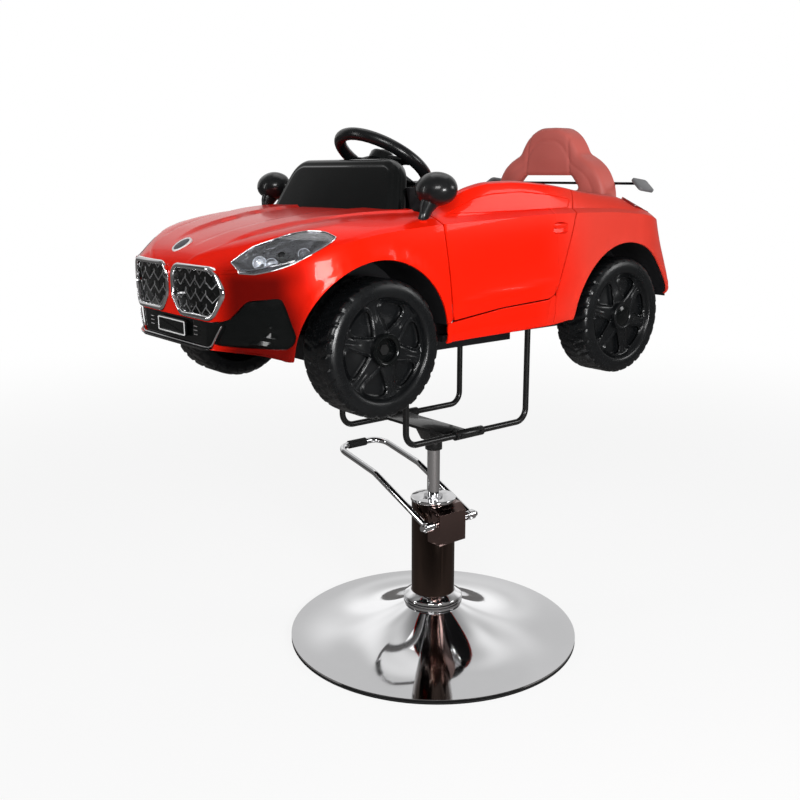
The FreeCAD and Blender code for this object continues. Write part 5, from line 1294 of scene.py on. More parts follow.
makeFrontBody()
makeRearBody()
makeDeckLamps()
makeSills()
makeDoor()
makeHandle()
print("body panels cut")


# Nose: kidney frames with their wire mesh, headlamps, vents, lip, plate and badge.
def kidneyPlace(side, scale=mm):
    # from the outline's plane (across, up, out) to the nose
    origin = (0, side * kidney["inner"], kidney["bottom"])
    return axesMatrix((0, side, 0), (0, 0, 1), (-1, 0, 0), origin, scale)


skinTree = BVHTree.FromPolygons([vert.co for vert in skinMesh.vertices],
                                [poly.vertices for poly in skinMesh.polygons])


nose = {"low": 696, "high": 806, "from": -800, "missed": -520, "middle": .5}


def noseX(y, z):
    # where the skin of the nose stands at a width and height
    z = min(max(z, nose["low"] * mm), nose["high"] * mm)
    start = Vector((nose["from"] * mm, -max(abs(y), nose["middle"] * mm), z))
    hit = skinTree.ray_cast(start, Vector((1, 0, 0)))
    return hit[0].x if hit[0] else nose["missed"] * mm


def wrapNose(piece):
    # lays a flat piece on the curved nose
    for vert in piece.data.vertices:
        vert.co.x += noseX(vert.co.y, vert.co.z)
    return piece


kidneyFrame = {
    "section": ((.4, -9), (-.5, -1), (-.3, 2.2), (.8, 4.4), (2.6, 5.4), (4.8, 5.2), (6.4, 3.8), (7.2, 1.4),
                (7.4, -9)),
    "thin": .6, "broader": .55,
}


def kidneyRing(side):
    # the chrome is broad along the top and foot and thin at the sides
    outline = kidneyOutline(0)
    bm = bmesh.new()
    rows = []
    for point, normal in zip(outline, outlineNormals(outline)):
        broad = kidneyFrame["thin"] + kidneyFrame["broader"] * normal.y ** 2
        rows.append([bm.verts.new((*(Vector(point) - normal * (inset * (broad if inset > .5 else 1))), out))
                     for inset, out in kidneyFrame["section"]])
    bridge(bm, rows, ringed=True, wrapped=True)
    bmesh.ops.recalc_face_normals(bm, faces=bm.faces)
    return wrapNose(moveMesh(pieceFromMesh("kidneyFrame", bm), kidneyPlace(side)))


def makeKidneys():
    rings = joinPieces("kidneyFrames", [kidneyRing(side) for side in (-1, 1)])
    smooth(rings, 50)
    wear(rings, "car", "grille_chrome", chrome, "grille_frames")
    backs, wires = [], []
    for side in (-1, 1):
        back = sweepOutline("kidneyBack", kidneyOutline(1.6), ((0, -11), (0, -8)), filled=True)
        backs.append(wrapNose(moveMesh(back, kidneyPlace(side))))
        wires += kidneyWires(side)
    wear(joinPieces("kidneyBacks", backs), "car", "grille_black", glossBlack, "grille_meshes")
    wear(joinPieces("kidneyWires", wires), "car", "grille_chrome", steel)


wires = {"rows": 4, "waves": 4.5, "cells": 12, "radius": .8, "depth": -4.5, "inset": 5, "rise": .62,
         "start": .3, "stem": (-.5, 5.5), "stemShare": .8, "topGap": 14}


def kidneyWires(side):
    # zigzag ribs one above the other, cut off at the frame, with a short stem at each peak
    field = polygonField(kidneyOutline(wires["inset"]), 0, 1)
    wide = kidney["outer"] - kidney["inner"]
    tall = kidney["top"] - kidney["bottom"]
    step = tall / wires["rows"]
    pieces = []
    for row in range(-1, wires["rows"] + 1):
        run = []
        count = int(wires["waves"] * wires["cells"])
        for i in range(count + 2):
            across = wide * i / count
            saw = abs(across / wide * wires["waves"] % 1 * 2 - 1)
            up = step * (row + wires["start"] + saw * wires["rise"])
            if i <= count and field(Vector((across, up, 0)) * mm) > 0:
                run.append((across, up, wires["depth"]))
                if i % wires["cells"] == 0 and up < tall - wires["topGap"]:
                    stem = [(across, up + rise, wires["depth"] - 1) for rise in wires["stem"]]
                    pieces.append(tube("kidneyWire", stem, wires["radius"] * wires["stemShare"], sides=1))
            else:
                if len(run) > 2:
                    pieces.append(tube("kidneyWire", run, wires["radius"], sides=1))
                run = []
    for piece in pieces:
        wrapNose(moveMesh(piece, kidneyPlace(side, 1)))
    return pieces


def outlineLoop(bm):
    # the boundary points of a carved patch, in order
    edges = boundary(bm)
    following = {}
    for edge in edges:
        for vert in edge.verts:
            following.setdefault(vert, []).append(edge.other_vert(vert))
    start = edges[0].verts[0]
    loop = [start]
    before, here = None, start
    while True:
        ahead = [vert for vert in following[here] if vert is not before]
        before, here = here, ahead[0]
        if here is start or len(loop) > len(edges):
            break
        loop.append(here)
    return [vert.co.copy() for vert in loop]


headlamp = {
    "deep": 13, "floor": 2.4, "edge": (1, 17), "ripple": 1.0, "rippleTurn": .5, "rippleEdge": (6, 14),
    "inward": (.42, .86, -.28), "grow": .6, "wall": 2, "bowlWall": 1.2, "rim": .95,
    # place along the car, height and radius of each cup
    "cups": ((-511, 829, 9.5), (-501, 827, 9), (-458, 842, 8.5)), "cupDepth": 8,
    # radius and height shares of the cup's line
    "cupShares": ((0, -5), (.5, -3.6), (.85, -.5), (1, 2.4), (1.08, 2.4), (1.08, 1.2), (.6, -5), (0, -6.4)),
    "ball": (-484, 838), "ballRadius": 9.5, "ballDepth": 10,
    "collar": ((9.4, -2), (10.6, -2), (10.6, 1.4), (9.4, 1.4)),
}


def makeHeadlamps():
    patch = skinPart("lamp", lampField(headlamp["grow"]))
    loop = outlineLoop(patch)
    bowl = patch.copy()
    lens = shellFrom("headlampLenses", patch, headlamp["wall"], .5)
    wear(lens, "car", "lens_clear", lensClear, "headlight_lenses")
    makeBowl(bowl, loop)
    loops = [[Vector((p.x, p.y * side, p.z)) / mm for p in loop] for side in (1, -1)]
    rims = [tube("headlampRim", points, headlamp["rim"], closed=True, sides=3) for points in loops]
    wear(joinPieces("headlampRims", rims), "car", "grille_chrome", chrome)
    cups = []
    for x, z, radius in headlamp["cups"]:
        profile = [(radius * share, rise) for share, rise in headlamp["cupShares"]]
        cup = lathe("cup", profile, 40, closed=False)
        moveMesh(cup, lampPlace(x, z, headlamp["cupDepth"]))
        cups += [cup, mirroredCopy(cup, "cup")]
    wear(joinPieces("headlampCups", cups), "car", "bowl_silver", reflector)
    place = lampPlace(*headlamp["ball"], headlamp["ballDepth"])
    bpy.ops.mesh.primitive_uv_sphere_add(segments=32, ring_count=16, radius=headlamp["ballRadius"] * mm)
    ball = moveMesh(bpy.context.object, place)
    smooth(ball, 60)
    collar = moveMesh(lathe("collar", headlamp["collar"], 40), place)
    bulbs = [ball, collar, mirroredCopy(ball, "ball"), mirroredCopy(collar, "collar")]
    wear(joinPieces("headlampProjectors", bulbs), "car", "grille_black", glossBlack)


def makeBowl(bowl, loop):
    # the lens patch drawn in behind its rim, with a ripple on its floor
    inward = Vector(headlamp["inward"]).normalized()
    for vert in bowl.verts:
        edge = min((vert.co - point).length for point in loop) / mm
        ripple = math.sin(vert.co.x / mm * headlamp["rippleTurn"]) * step01(edge, *headlamp["rippleEdge"])
        deep = headlamp["deep"] * step01(edge, *headlamp["edge"]) + headlamp["floor"]
        vert.co += inward * (deep + headlamp["ripple"] * ripple) * mm
    inside = shellFrom("headlampBowls", bowl, headlamp["bowlWall"], .3)
    wear(inside, "car", "bowl_silver", bowlDark, "headlight_bowls")


def lampPlace(x, z, depth):
    # a place behind the lens, facing out along the skin's normal
    spot, normal = skinTree.ray_cast(Vector((x * mm, -.5, z * mm)), Vector((0, 1, 0)))[:2]
    face = (normal + Vector((-.35, -.55, .1))).normalized()
    turn = face.to_track_quat("Z", "X").to_matrix().to_4x4()
    return Matrix.Translation(spot - normal * depth * mm) @ turn


slat = {"sunk": 5.5, "rise": 2.5, "lean": .25, "turn": .42, "front": (-556, -540), "rear": (-484, -500),
        "grow": .4, "wall": 2.5}


def makeVents():
    patch = skinPart("vent", ventField(slat["grow"]), outside(lipField()))
    for vert, normal in areaNormals(patch).items():
        x, z = vert.co.x / mm, vert.co.z / mm
        ridge = slat["rise"] * max(0, math.sin((z + x * slat["lean"]) * slat["turn"]))
        ridge *= step01(x, *slat["front"]) * step01(x, *slat["rear"])
        vert.co -= normal * (slat["sunk"] - ridge) * mm
    wear(shellFrom("bumperVents", patch, slat["wall"], .5), "car", "grille_black", glossBlack, "bumper_vents")


lipTrim = {"grow": .3, "wall": 2.5, "sunk": 3.2, "rise": 1.6, "turn": 1.1, "inner": (58, 66),
           "outer": (100, 92), "above": (706, 712), "topDown": 4, "topIn": 8, "lowOut": 14, "bend": 16,
           "spacing": 6, "sink": .4, "radius": 1.5,
           "barAcross": (70, 76, 82), "barLow": 709, "barStep": 6.5, "bars": 3, "barLift": .5,
           "barRadius": .9}


def onNose(points, lift):
    return [Vector((noseX(p[1] * mm, p[2] * mm) / mm + lift, p[1], p[2])) for p in points]


def makeLip():
    patch = skinPart("lip", lipField(lipTrim["grow"]))
    for vert, normal in areaNormals(patch).items():
        y, z = abs(vert.co.y) / mm, vert.co.z / mm
        grille = math.sin(z * lipTrim["turn"]) * step01(y, *lipTrim["inner"])
        grille *= step01(y, *lipTrim["outer"]) * step01(z, *lipTrim["above"])
        vert.co -= normal * (lipTrim["sunk"] - lipTrim["rise"] * max(0, grille)) * mm
    panel = shellFrom("lipPanel", patch, lipTrim["wall"], .5)
    wear(panel, "car", "grille_black", glossBlack, "bumper_grille")
    high, low = lip["top"] - lipTrim["topDown"], lip["lineLow"]
    wide, reach = lip["topHalf"] - lipTrim["topIn"], lip["bottomHalf"] + lipTrim["lowOut"]
    line = [(0, wide, high), (0, reach, low), (0, -reach, low), (0, -wide, high)]
    points = filletPoints(line, [0, lipTrim["bend"], lipTrim["bend"], 0], 8, closed=False)
    dense = []
    for a, b in zip(points, points[1:]):
        count = max(1, int((b - a).length / lipTrim["spacing"]))
        dense += [a.lerp(b, step / count) for step in range(count)]
    strips = [tube("lipLine", onNose(dense + [points[-1]], -lipTrim["sink"]), lipTrim["radius"], sides=3)]
    for side in (-1, 1):
        for k in range(lipTrim["bars"]):
            bar = [(0, side * y, lipTrim["barLow"] + lipTrim["barStep"] * k) for y in lipTrim["barAcross"]]
            strips.append(tube("lipBar", onNose(bar, lipTrim["barLift"]), lipTrim["barRadius"], sides=2))
    wear(joinPieces("lipLines", strips), "car", "grille_chrome", chrome)


plate = {
    "long": 96, "tall": 26, "thick": 4, "height": 715, "corner": 4,
    "face": ((0, -4), (0, -.8), (.8, 0), (4.4, 0), (4.8, -.5)),
    "border": ((1.4, 0), (1.6, .55), (3.2, .55), (3.4, 0), (1.4, 0)),
}


def makePlate():
    front = stationX(form["firstShare"]) - plate["thick"]
    outline = roundedBox(plate["long"], plate["tall"], plate["corner"], 5)
    place = axesMatrix((0, -1, 0), (0, 0, 1), (-1, 0, 0), (front, 0, plate["height"]), mm)
    panel = moveMesh(sweepOutline("platePanel", outline, plate["face"], filled=True), place)
    evenShading(panel, 30)
    wear(panel, "car", "plate_black", glossBlack, "number_plate")
    border = moveMesh(sweepOutline("plateBorder", outline, plate["border"]), place)
    wear(border, "car", "badge_blank", trimWhite)


badge = {
    "share": .030, "tilt": 33, "rise": .6,
    "ring": ((14.6, -3), (18, -3), (18, .4), (17.3, 1.3), (15.6, 1.5), (14.6, .6)),
    "disc": ((0, -3), (14.8, -3), (14.8, .5), (11, 1.1), (6, 1.4), (0, 1.5)),
}


def makeBadge():
    x, z = sidePlace((badge["share"], curves["crown"](badge["share"])))
    place = turnedPlace((x, 0, z), -badge["tilt"]) @ Matrix.Translation((0, 0, badge["rise"] * mm))
    wear(moveMesh(lathe("badgeRing", badge["ring"]), place), "car", "badge_blank", trimWhite)
    disc = lathe("badgeDisc", badge["disc"], closed=False)
    wear(moveMesh(disc, place), "car", "badge_blank", badgeDark, "badge_disc")


makeKidneys()
makeHeadlamps()
makeVents()
makeLip()
makePlate()
makeBadge()
print("nose dressed")

# Windscreen, steering wheel and mirrors.
screen = {
    "bottomHalf": 198, "topHalf": 152, "slant": 105, "wall": 4, "deep": 24, "corner": 52, "footCorner": 22,
    "baseX": -256, "baseZ": 884, "sink": 16, "lean": 22, "edge": 11, "edgeCells": 8, "stepIn": 2.2,
    # the raised field of the face, as inset and height
    "face": ((20, .4), (18.4, .3), (17.2, -.4), (16.2, -1.5), (14.6, -2.2)),
}


def makeWindscreen():
    bottom, top, low, high = screen["bottomHalf"], screen["topHalf"], -screen["sink"], screen["slant"]
    outline = flatOutline(((-bottom, low), (bottom, low), (top, high), (-top, high)),
                          [screen["footCorner"]] * 2 + [screen["corner"]] * 2, 12)
    edge, wall, deep = screen["edge"], screen["wall"], screen["deep"]
    profile = list(screen["face"])
    for step in range(screen["edgeCells"] + 1):
        angle = math.pi / 2 * step / screen["edgeCells"]
        profile.append((edge * (1 - math.sin(angle)), edge * (math.cos(angle) - 1) - screen["stepIn"]))
    profile += [(0, -deep + 2), (.6, -deep + .4), (wall - .6, -deep + .4), (wall, -deep + 2),
                (wall, -edge - 3), (edge, -wall - 4), (33, -wall - 3)]
    panel = sweepOutline("screenPanel", outline, profile, filled=True)
    lean = math.radians(screen["lean"])
    # outline plane: across is -Y, up leans back, out faces forward
    up = Vector((math.sin(lean), 0, math.cos(lean)))
    out = Vector((-math.cos(lean), 0, math.sin(lean)))
    moveMesh(panel, axesMatrix(up.cross(out), up, out, (screen["baseX"], 0, screen["baseZ"]), mm))
    smooth(panel, 40)
    wear(panel, "car", "screen_gloss", glossBlack, "windscreen")


steering = {
    "ringRadius": 87, "tube": 11, "centre": (-127, 0, 975), "lean": 57.5, "grips": 36, "gripRise": .6,
    "spokeTurns": (0, 90, 180), "spoke": ((14, -17), (58, -9), (84, -12), (84, 12), (58, 9), (14, 17)),
    "spokeRound": (3, 20, 2, 2, 20, 3), "spokeEdge": ((1.6, -4), (0, -2.4), (0, 2.4), (1.6, 4)),
    "hub": ((7.1, -11), (24, -11), (28, -7), (28, 6), (26, 9.5), (22, 11), (17.3, 11), (17.1, 6), (7.1, 6)),
    "horn": ((0, 8.5), (17, 8.5), (17, 13.4), (14.5, 16), (9, 17.4), (0, 18)),
}


def makeSteering():
    place = turnedPlace(steering["centre"], 90 - steering["lean"])
    ringRadius = steering["ringRadius"] * mm
    bpy.ops.mesh.primitive_torus_add(major_radius=ringRadius, minor_radius=steering["tube"] * mm,
                                     major_segments=120, minor_segments=28)
    ring = bpy.context.object
    for vert in ring.data.vertices:
        # finger ridges on the inner side
        angle, radius = math.atan2(vert.co.y, vert.co.x), math.hypot(vert.co.x, vert.co.y)
        ridge = max(0, math.cos(angle * steering["grips"])) * (1 if radius < ringRadius else 0)
        share = (radius + steering["gripRise"] * mm * ridge) / radius
        vert.co.x *= share
        vert.co.y *= share
    smooth(ring, 60)
    spokes = []
    for angle in steering["spokeTurns"]:
        spoke = sweepOutline("spoke", flatOutline(steering["spoke"], steering["spokeRound"]),
                             steering["spokeEdge"], filled=True)
        moveMesh(spoke, Matrix.Rotation(math.radians(angle - 90), 4, "Z") @ Matrix.Scale(mm, 4))
        smooth(spoke, 40)
        spokes.append(spoke)
    ring = joinPieces("steeringRing", [ring, lathe("hub", steering["hub"])] + spokes)
    wear(moveMesh(ring, place), "steering", "steering_plastic", wheelBlack, "steering_wheel")
    dome = lathe("hornDome", steering["horn"], closed=False)
    wear(moveMesh(dome, place), "horn", "horn_plastic", glossBlack, "horn_button")


mirror = {
    "long": 33, "wide": 37, "tall": 27, "squash": .10, "place": (-210, 243, 929), "backCut": 17, "rim": 3,
    "sunk": 2.5, "foot": (-238, 239, 877), "boss": (-241, 244, 866), "glassShare": .84, "glassIn": 2,
    # share of the way up, half widths
    "neck": ((0, 11.5, 7), (.05, 11.5, 7), (.10, 10, 6.2), (.3, 12, 8), (.5, 17, 12), (.75, 20, 15)),
    # inward, up and half widths
    "bossRings": ((0, 0, 14, 9), (0, 6, 13, 8.5), (1, 12, 11.5, 7.5), (1, 14, 10, 6.5)),
    "glass": ((0, -2), (1, -2), (1, .2), (.9, .8), (0, 1.0)),
}


def mirrorHousing(place):
    # a squashed ball cut off at the back, with its cut face drawn in
    bpy.ops.mesh.primitive_uv_sphere_add(segments=64, ring_count=40, radius=1)
    ball = bpy.context.object
    for vert in ball.data.vertices:
        co = vert.co
        squash = 1 - mirror["squash"] * co.z if co.x < 0 else 1
        vert.co = (Vector((co.x * mirror["long"] * squash, co.y * mirror["wide"], co.z * mirror["tall"]))
                   + place) * mm
    editAll(ball)
    cut = (place + Vector((mirror["backCut"], 0, 0))) * mm
    bpy.ops.mesh.bisect(plane_co=cut, plane_no=(1, 0, 0), use_fill=True, clear_outer=True)
    bpy.ops.mesh.inset(thickness=mirror["rim"] * mm)
    bpy.ops.transform.translate(value=(-mirror["sunk"] * mm, 0, 0))
    bpy.ops.object.mode_set(mode="OBJECT")
    softEdges(ball, .9, 40)
    smooth(ball, 40)
    return ball


def mirrorGlass(place):
    middle = place + Vector((mirror["backCut"] - mirror["glassIn"], 0, 0))
    share = math.sqrt(1 - (mirror["backCut"] / mirror["long"]) ** 2) * mirror["glassShare"]
    stretch = Matrix.Diagonal((mirror["tall"] * share, mirror["wide"] * share, 1, 1))
    return moveMesh(lathe("glass", mirror["glass"], closed=False), turnedPlace(middle, 90) @ stretch)


def makeMirrors():
    housings, glasses, bosses = [], [], []
    for side in (-1, 1):
        spots = (mirror["place"], mirror["foot"], mirror["boss"])
        place, foot, low = (Vector((x, y * side, z)) for x, y, z in spots)
        neck = loft("neck", [(foot.lerp(place, share), wide, deep) for share, wide, deep in mirror["neck"]])
        housings += [mirrorHousing(place), neck]
        bosses.append(loft("boss", [(low + Vector((0, -side * into, up)), wide, deep)
                                    for into, up, wide, deep in mirror["bossRings"]]))
        glasses.append(mirrorGlass(place))
    wear(joinPieces("mirrorHousings", housings), "car", "mirror_plastic", satinBlack, "side_mirrors")
    wear(joinPieces("mirrorGlasses", glasses), "car", "mirror_plastic", mirrorSilver)
    wear(joinPieces("mirrorBosses", bosses), "car", "body_paint", bodyPaint)


makeWindscreen()
makeSteering()
makeMirrors()
print("cockpit front fitted")

# Seat back: a moulded shell with a crowned middle, bolsters and a hand opening.
seat = {
    "face": 310, "half": 154, "bottom": 770, "tall": 275, "deep": 45, "round": 13, "spacing": 3, "wall": 4,
    "outline": ((0, 1), (.16, .996), (.29, .968), (.40, .920), (.48, .862), (.54, .808), (.62, .783),
                (.73, .748), (.85, .690), (.94, .61), (.985, .53), (1, .42)),
    "legDown": 40, "bends": 6, "foot": .9, "openLow": 918, "openHigh": 948, "openLowHalf": 96,
    "openHighHalf": 66, "openRound": 6, "handHalf": 108, "handLow": 912, "handHigh": 954, "handDeep": 15,
    "margin": 6, "front": 4, "edgeLean": .8, "edgeGap": 4,
    # each relief line: height, place, width and the heights between which it fades in
    "bolster": (-4.0, 96, 26, 985, 945), "head": (-2.5, 0, 50, 955, 985), "seam": (1.5, 52, 2.6, 1040, 1022),
    "seamLean": .10, "seamTop": 1045, "rimLine": (1.1, 27, 2.4, 800, 830),
}


def seatOutline():
    # the crest as a smooth line through its shares, then straight down to the foot
    corners = [(seat["half"] * a, seat["bottom"] + seat["tall"] * b) for a, b in seat["outline"]]
    line = []
    full = [(-corners[1][0], corners[1][1])] + corners + [(corners[-1][0], corners[-1][1] - seat["legDown"])]
    for i in range(1, len(full) - 2):
        p0, p1, p2, p3 = (Vector(full[k]) for k in (i - 1, i, i + 1, i + 2))
        for step in range(seat["bends"]):
            t = step / seat["bends"]
            line.append(.5 * ((2 * p1) + (p2 - p0) * t + (2 * p0 - 5 * p1 + 4 * p2 - p3) * t * t
                              + (3 * p1 - p0 - 3 * p2 + p3) * t ** 3))
    line.append(Vector(corners[-1]))
    line.append(Vector((seat["half"] * seat["foot"], seat["bottom"])))
    right = [(p.x, p.y) for p in line]
    return right + [(-a, b) for a, b in right[::-1] if a > .5]


def seatLine(key, place, z):
    rise, at, width, low, high = seat[key]
    return rise * bump(place - at, width) * step01(z, low, high)


def seatSheet():
    # an even upright sheet a little larger than the seat back
    margin, spacing = seat["margin"], seat["spacing"]
    half, tall = seat["half"] + margin, seat["tall"] + 2 * margin
    across, up = round(2 * half / spacing), round(tall / spacing)
    bm = bmesh.new()
    bridge(bm, [[bm.verts.new(Vector((seat["face"], half - 2 * half * i / across,
                                      seat["bottom"] - margin + tall * j / up)) * mm) for j in range(up + 1)]
                for i in range(across + 1)], flipped=True)
    return bm


def makeSeatBack():
    outlineField = polygonField(seatOutline(), 1, 2, .04)
    low, high = seat["openLowHalf"], seat["openHighHalf"]
    opening = flatOutline(((-low, seat["openLow"]), (low, seat["openLow"]), (high, seat["openHigh"]),
                           (-high, seat["openHigh"])), seat["openRound"])
    openField = polygonField(opening, 1, 2, .04)
    bm = seatSheet()
    carve(bm, outlineField)
    carve(bm, outside(openField))
    for vert in bm.verts:
        y, z = abs(vert.co.y) / mm, vert.co.z / mm
        edge = min(outlineField(vert.co), -openField(vert.co) + seat["edgeGap"] * mm) / mm
        reach = max(0, seat["round"] - max(0, edge))
        turned = seat["round"] - math.sqrt(max(0, seat["round"] ** 2 - reach ** 2))
        lines = (seatLine("bolster", y, z) + seatLine("head", y, z)
                 + seatLine("seam", y - (seat["seamTop"] - z) * seat["seamLean"], z)
                 + seatLine("rimLine", outlineField(vert.co) / mm, z))
        vert.co.x += (turned * seat["edgeLean"] + lines + seat["front"]) * mm
    lifted = bmesh.ops.extrude_edge_only(bm, edges=boundary(bm))["geom"]
    for vert in (item for item in lifted if isinstance(item, bmesh.types.BMVert)):
        y, z = abs(vert.co.y) / mm, vert.co.z / mm
        hand = y < seat["handHalf"] and seat["handLow"] < z < seat["handHigh"]
        vert.co.x = (seat["face"] + (seat["handDeep"] if hand else seat["deep"])) * mm
    bm.normal_update()
    piece = pieceFromMesh("seatBackShell", bm)
    modify(piece, "SOLIDIFY", thickness=seat["wall"] * mm, offset=-1)
    smooth(piece, 40)
    wear(piece, "car", "seat_plastic", seatRed, "seat_back")


makeSeatBack()
print("seat moulded")

# Wheels: blow-moulded tyre and rim in one, with six pockets between Y spokes.
wheel = {
    "width": 74, "rim": 84, "rimSoft": 5, "dish": 9, "crown": 2.2, "crownSpan": (60, 36), "boss": 27,
    "turns": 240, "faceCells": 40, "windowOuter": 74, "windowInner": 33, "windowHalf": 22.5,
    "windowRound": 9, "windowGrow": .6, "pocket": 8, "pocketEdge": .9, "floorEdge": 2.6, "floorRise": 1.6,
    "turn": 15, "windows": 6,
    # ridges round a pocket: height, how far out and width
    "beads": ((3.0, 1.0, 1.2), (-1.0, 4.2, 1.2)), "beadEnd": (82, 78), "seamDeep": -1.0, "seamWide": 2.2,
    "seamIn": (44, 50), "seamOut": (78, 74), "bossSoft": 3,
    "blocks": 30, "cellsPerBlock": 8, "groove": 2.2, "grooveFrom": 105.2, "tread": 111.4, "shoulder": 26,
    "slantFrom": 12, "slant": .16, "middleGroove": .7, "faceY": 261, "height": 683,
    "frontX": -328, "rearX": 256,
    "tyre": ((84, 0), (86, .9), (90, 1.7), (96, 2.0), (101, 1.2), (104, .1), (105.4, -.5), (108.6, -2.2),
             (111, -7), (111, -10), (111.4, -14), (111.6, -18), (111.6, -22), (111.2, -24), (111.2, -31),
             (111.6, -33), (111.6, -41), (111.2, -43), (111.2, -50), (111.6, -52), (111.6, -56), (111.4, -60),
             (111, -64), (111, -67), (108.6, -71.8), (104, -74), (96, -73), (90, -72), (84, -71), (82, -66),
             (80, -40), (80, -24)),
    "back": ((80, -24), (76, -20), (30, -20), (27, -24), (27, -60), (6.1, -60), (6.1, -40)),
    "hub": ((27, -6.8), (26.6, 1.2), (25.2, 2.9), (23, 3.2), (21.2, 2.6), (19.2, .6), (19, -10), (6.1, -10),
            (6.1, -40)),
    "frontCap": ((0, -7.5), (13, -7.5), (18.9, -7.9), (18.9, -9.5), (0, -9.5)),
    "rearCap": ((0, 3.4), (9, 3.1), (15, 2.0), (18.9, .4), (18.9, -4), (0, -4)),
    "frontRing": ((19.1, -4), (19.1, 1.6), (21.3, 3.3), (23.4, 3.9), (25.8, 3.4), (26.9, 1.4), (26.4, 1.0),
                  (23, 2.6), (20, -4)),
}


def smoothMin(a, b, k):
    share = max(k - abs(a - b), 0) / k
    return min(a, b) - share * share * k / 4


def windowField(co):
    # positive inside the nearest rounded-triangle pocket of the rim
    x, y = co.x / mm, co.y / mm
    radius = math.hypot(x, y)
    apart = 360 / wheel["windows"]
    angle = (math.degrees(math.atan2(y, x)) - wheel["turn"] + apart / 2) % apart - apart / 2
    px = radius * math.cos(math.radians(angle))
    py = abs(radius * math.sin(math.radians(angle)))
    half = math.radians(wheel["windowHalf"])
    inner = wheel["windowInner"]
    farX, farY = wheel["windowOuter"] * math.cos(half), wheel["windowOuter"] * math.sin(half)
    ex, ey = farX - inner, farY
    length = math.hypot(ex, ey)
    side = ((px - inner) * ey - py * ex) / length
    field = smoothMin(wheel["windowOuter"] - radius, side, wheel["windowRound"] * 2)
    return (field + wheel["windowGrow"]) * mm


def rimHeight(radius):
    # height of the rim face over the wheel's outer plane
    start = wheel["rim"] - wheel["rimSoft"]
    if radius > start:
        return -wheel["dish"] * step01(radius, wheel["rim"], start)
    return -wheel["dish"] + wheel["crown"] * step01(radius, *wheel["crownSpan"])


def rimRelief(co, radius):
    # beads round the pockets and a seam down the middle of each spoke
    reach = -windowField(co) / mm
    beads = sum(rise * bump(reach - out, width) for rise, out, width in wheel["beads"])
    apart = 360 / wheel["windows"]
    between = abs((math.degrees(math.atan2(co.y, co.x)) - wheel["turn"]) % apart - apart / 2)
    seam = wheel["seamDeep"] * bump(between, wheel["seamWide"]) * step01(radius, *wheel["seamIn"])
    seam *= step01(radius, *wheel["seamOut"])
    return ((beads * step01(radius, *wheel["beadEnd"]) + seam)
            * step01(radius, wheel["boss"], wheel["boss"] + wheel["bossSoft"]))


def makeRimFace():
    bm = bmesh.new()
    turns, inner, outer, count = wheel["turns"], wheel["boss"], wheel["rim"], wheel["faceCells"]
    radii = [inner + (outer - inner) * i / count for i in range(count + 1)]
    rows = [[bm.verts.new(around(radius, 0, k, turns)) for k in range(turns)] for radius in radii]
    bridge(bm, rows, ringed=True, flipped=True)
    inside = snapOutline(bm, windowField)[0]
    for vert in bm.verts:
        radius = math.hypot(vert.co.x, vert.co.y) / mm
        vert.co.z = (rimHeight(radius) + rimRelief(vert.co, radius)) * mm
    for edge, depth in ((wheel["pocketEdge"], -wheel["pocket"]), (wheel["floorEdge"], wheel["floorRise"])):
        bm.normal_update()
        floor = [face for face in inside if face.is_valid]
        bmesh.ops.inset_region(bm, faces=floor, thickness=edge * mm, depth=depth * mm, use_even_offset=True)
    bm.normal_update()
    return pieceFromMesh("rimFace", bm)


def treadRadius(radius, z, k):
    # the profile's radius less the grooves, which are set by angle
    if radius > wheel["grooveFrom"]:
        side, cells = -z - wheel["width"] / 2, wheel["cellsPerBlock"]
        slant = (abs(side) - wheel["slantFrom"]) * wheel["slant"]
        phase = (k + (0 if side < 0 else cells / 2) + slant) % cells
        if -z < wheel["shoulder"] or -z > wheel["width"] - wheel["shoulder"]:
            radius -= wheel["groove"] if phase < 2 else 0
        elif (k + 2 * slant) % 4 < 1:
            radius -= wheel["groove"] * wheel["middleGroove"]
    return min(radius, wheel["tread"])


def makeTyre():
    # a dense band with blocks on its shoulders
    cells = wheel["blocks"] * wheel["cellsPerBlock"]
    bm = bmesh.new()
    rows = [[bm.verts.new(around(treadRadius(radius, z, k), z, k, cells)) for radius, z in wheel["tyre"]]
            for k in range(cells)]
    bridge(bm, rows, wrapped=True)
    return pieceFromMesh("tyreBand", bm)


def makeWheels():
    face = makeRimFace()
    band = makeTyre()
    back = lathe("rimBack", wheel["back"], wheel["turns"], closed=False)
    boss = lathe("hubBoss", wheel["hub"], wheel["turns"], closed=False)
    model = joinPieces("wheelModel", [band, face, back, boss])
    mergeClose(model, .05)
    smooth(model, 38)
    for end in ("front", "rear"):
        for word, side in (("left", -1), ("right", 1)):
            name = "wheel_%s_%s" % (end, word)
            middle = (wheel[end + "X"], side * wheel["faceY"], wheel["height"])
            place = turnedPlace(middle, -90 * side, "X")
            copy = newPiece(name + "_tyre", model.data.copy())
            wear(moveMesh(copy, place), name, "wheel_plastic", wheelBlack, name)
            cap = lathe(name + "_cap", wheel[end + "Cap"], 64, closed=False)
            wear(moveMesh(cap, place), name, "wheel_plastic", glossBlack)
            if end == "front":
                ring = lathe(name + "_ring", wheel["frontRing"])
                wear(moveMesh(ring, place), name, "wheel_plastic", glossBlack)
    bpy.data.objects.remove(model)


makeWheels()
print("wheels moulded")


# Base, pump column and pedal.
base = {"radius": 300, "neck": 57, "low": 10, "top": 70, "wall": 3.6, "bulge": 2.2, "cells": 48, "neckIn": 20,
        "lipIn": .7, "lipDown": 1.5}


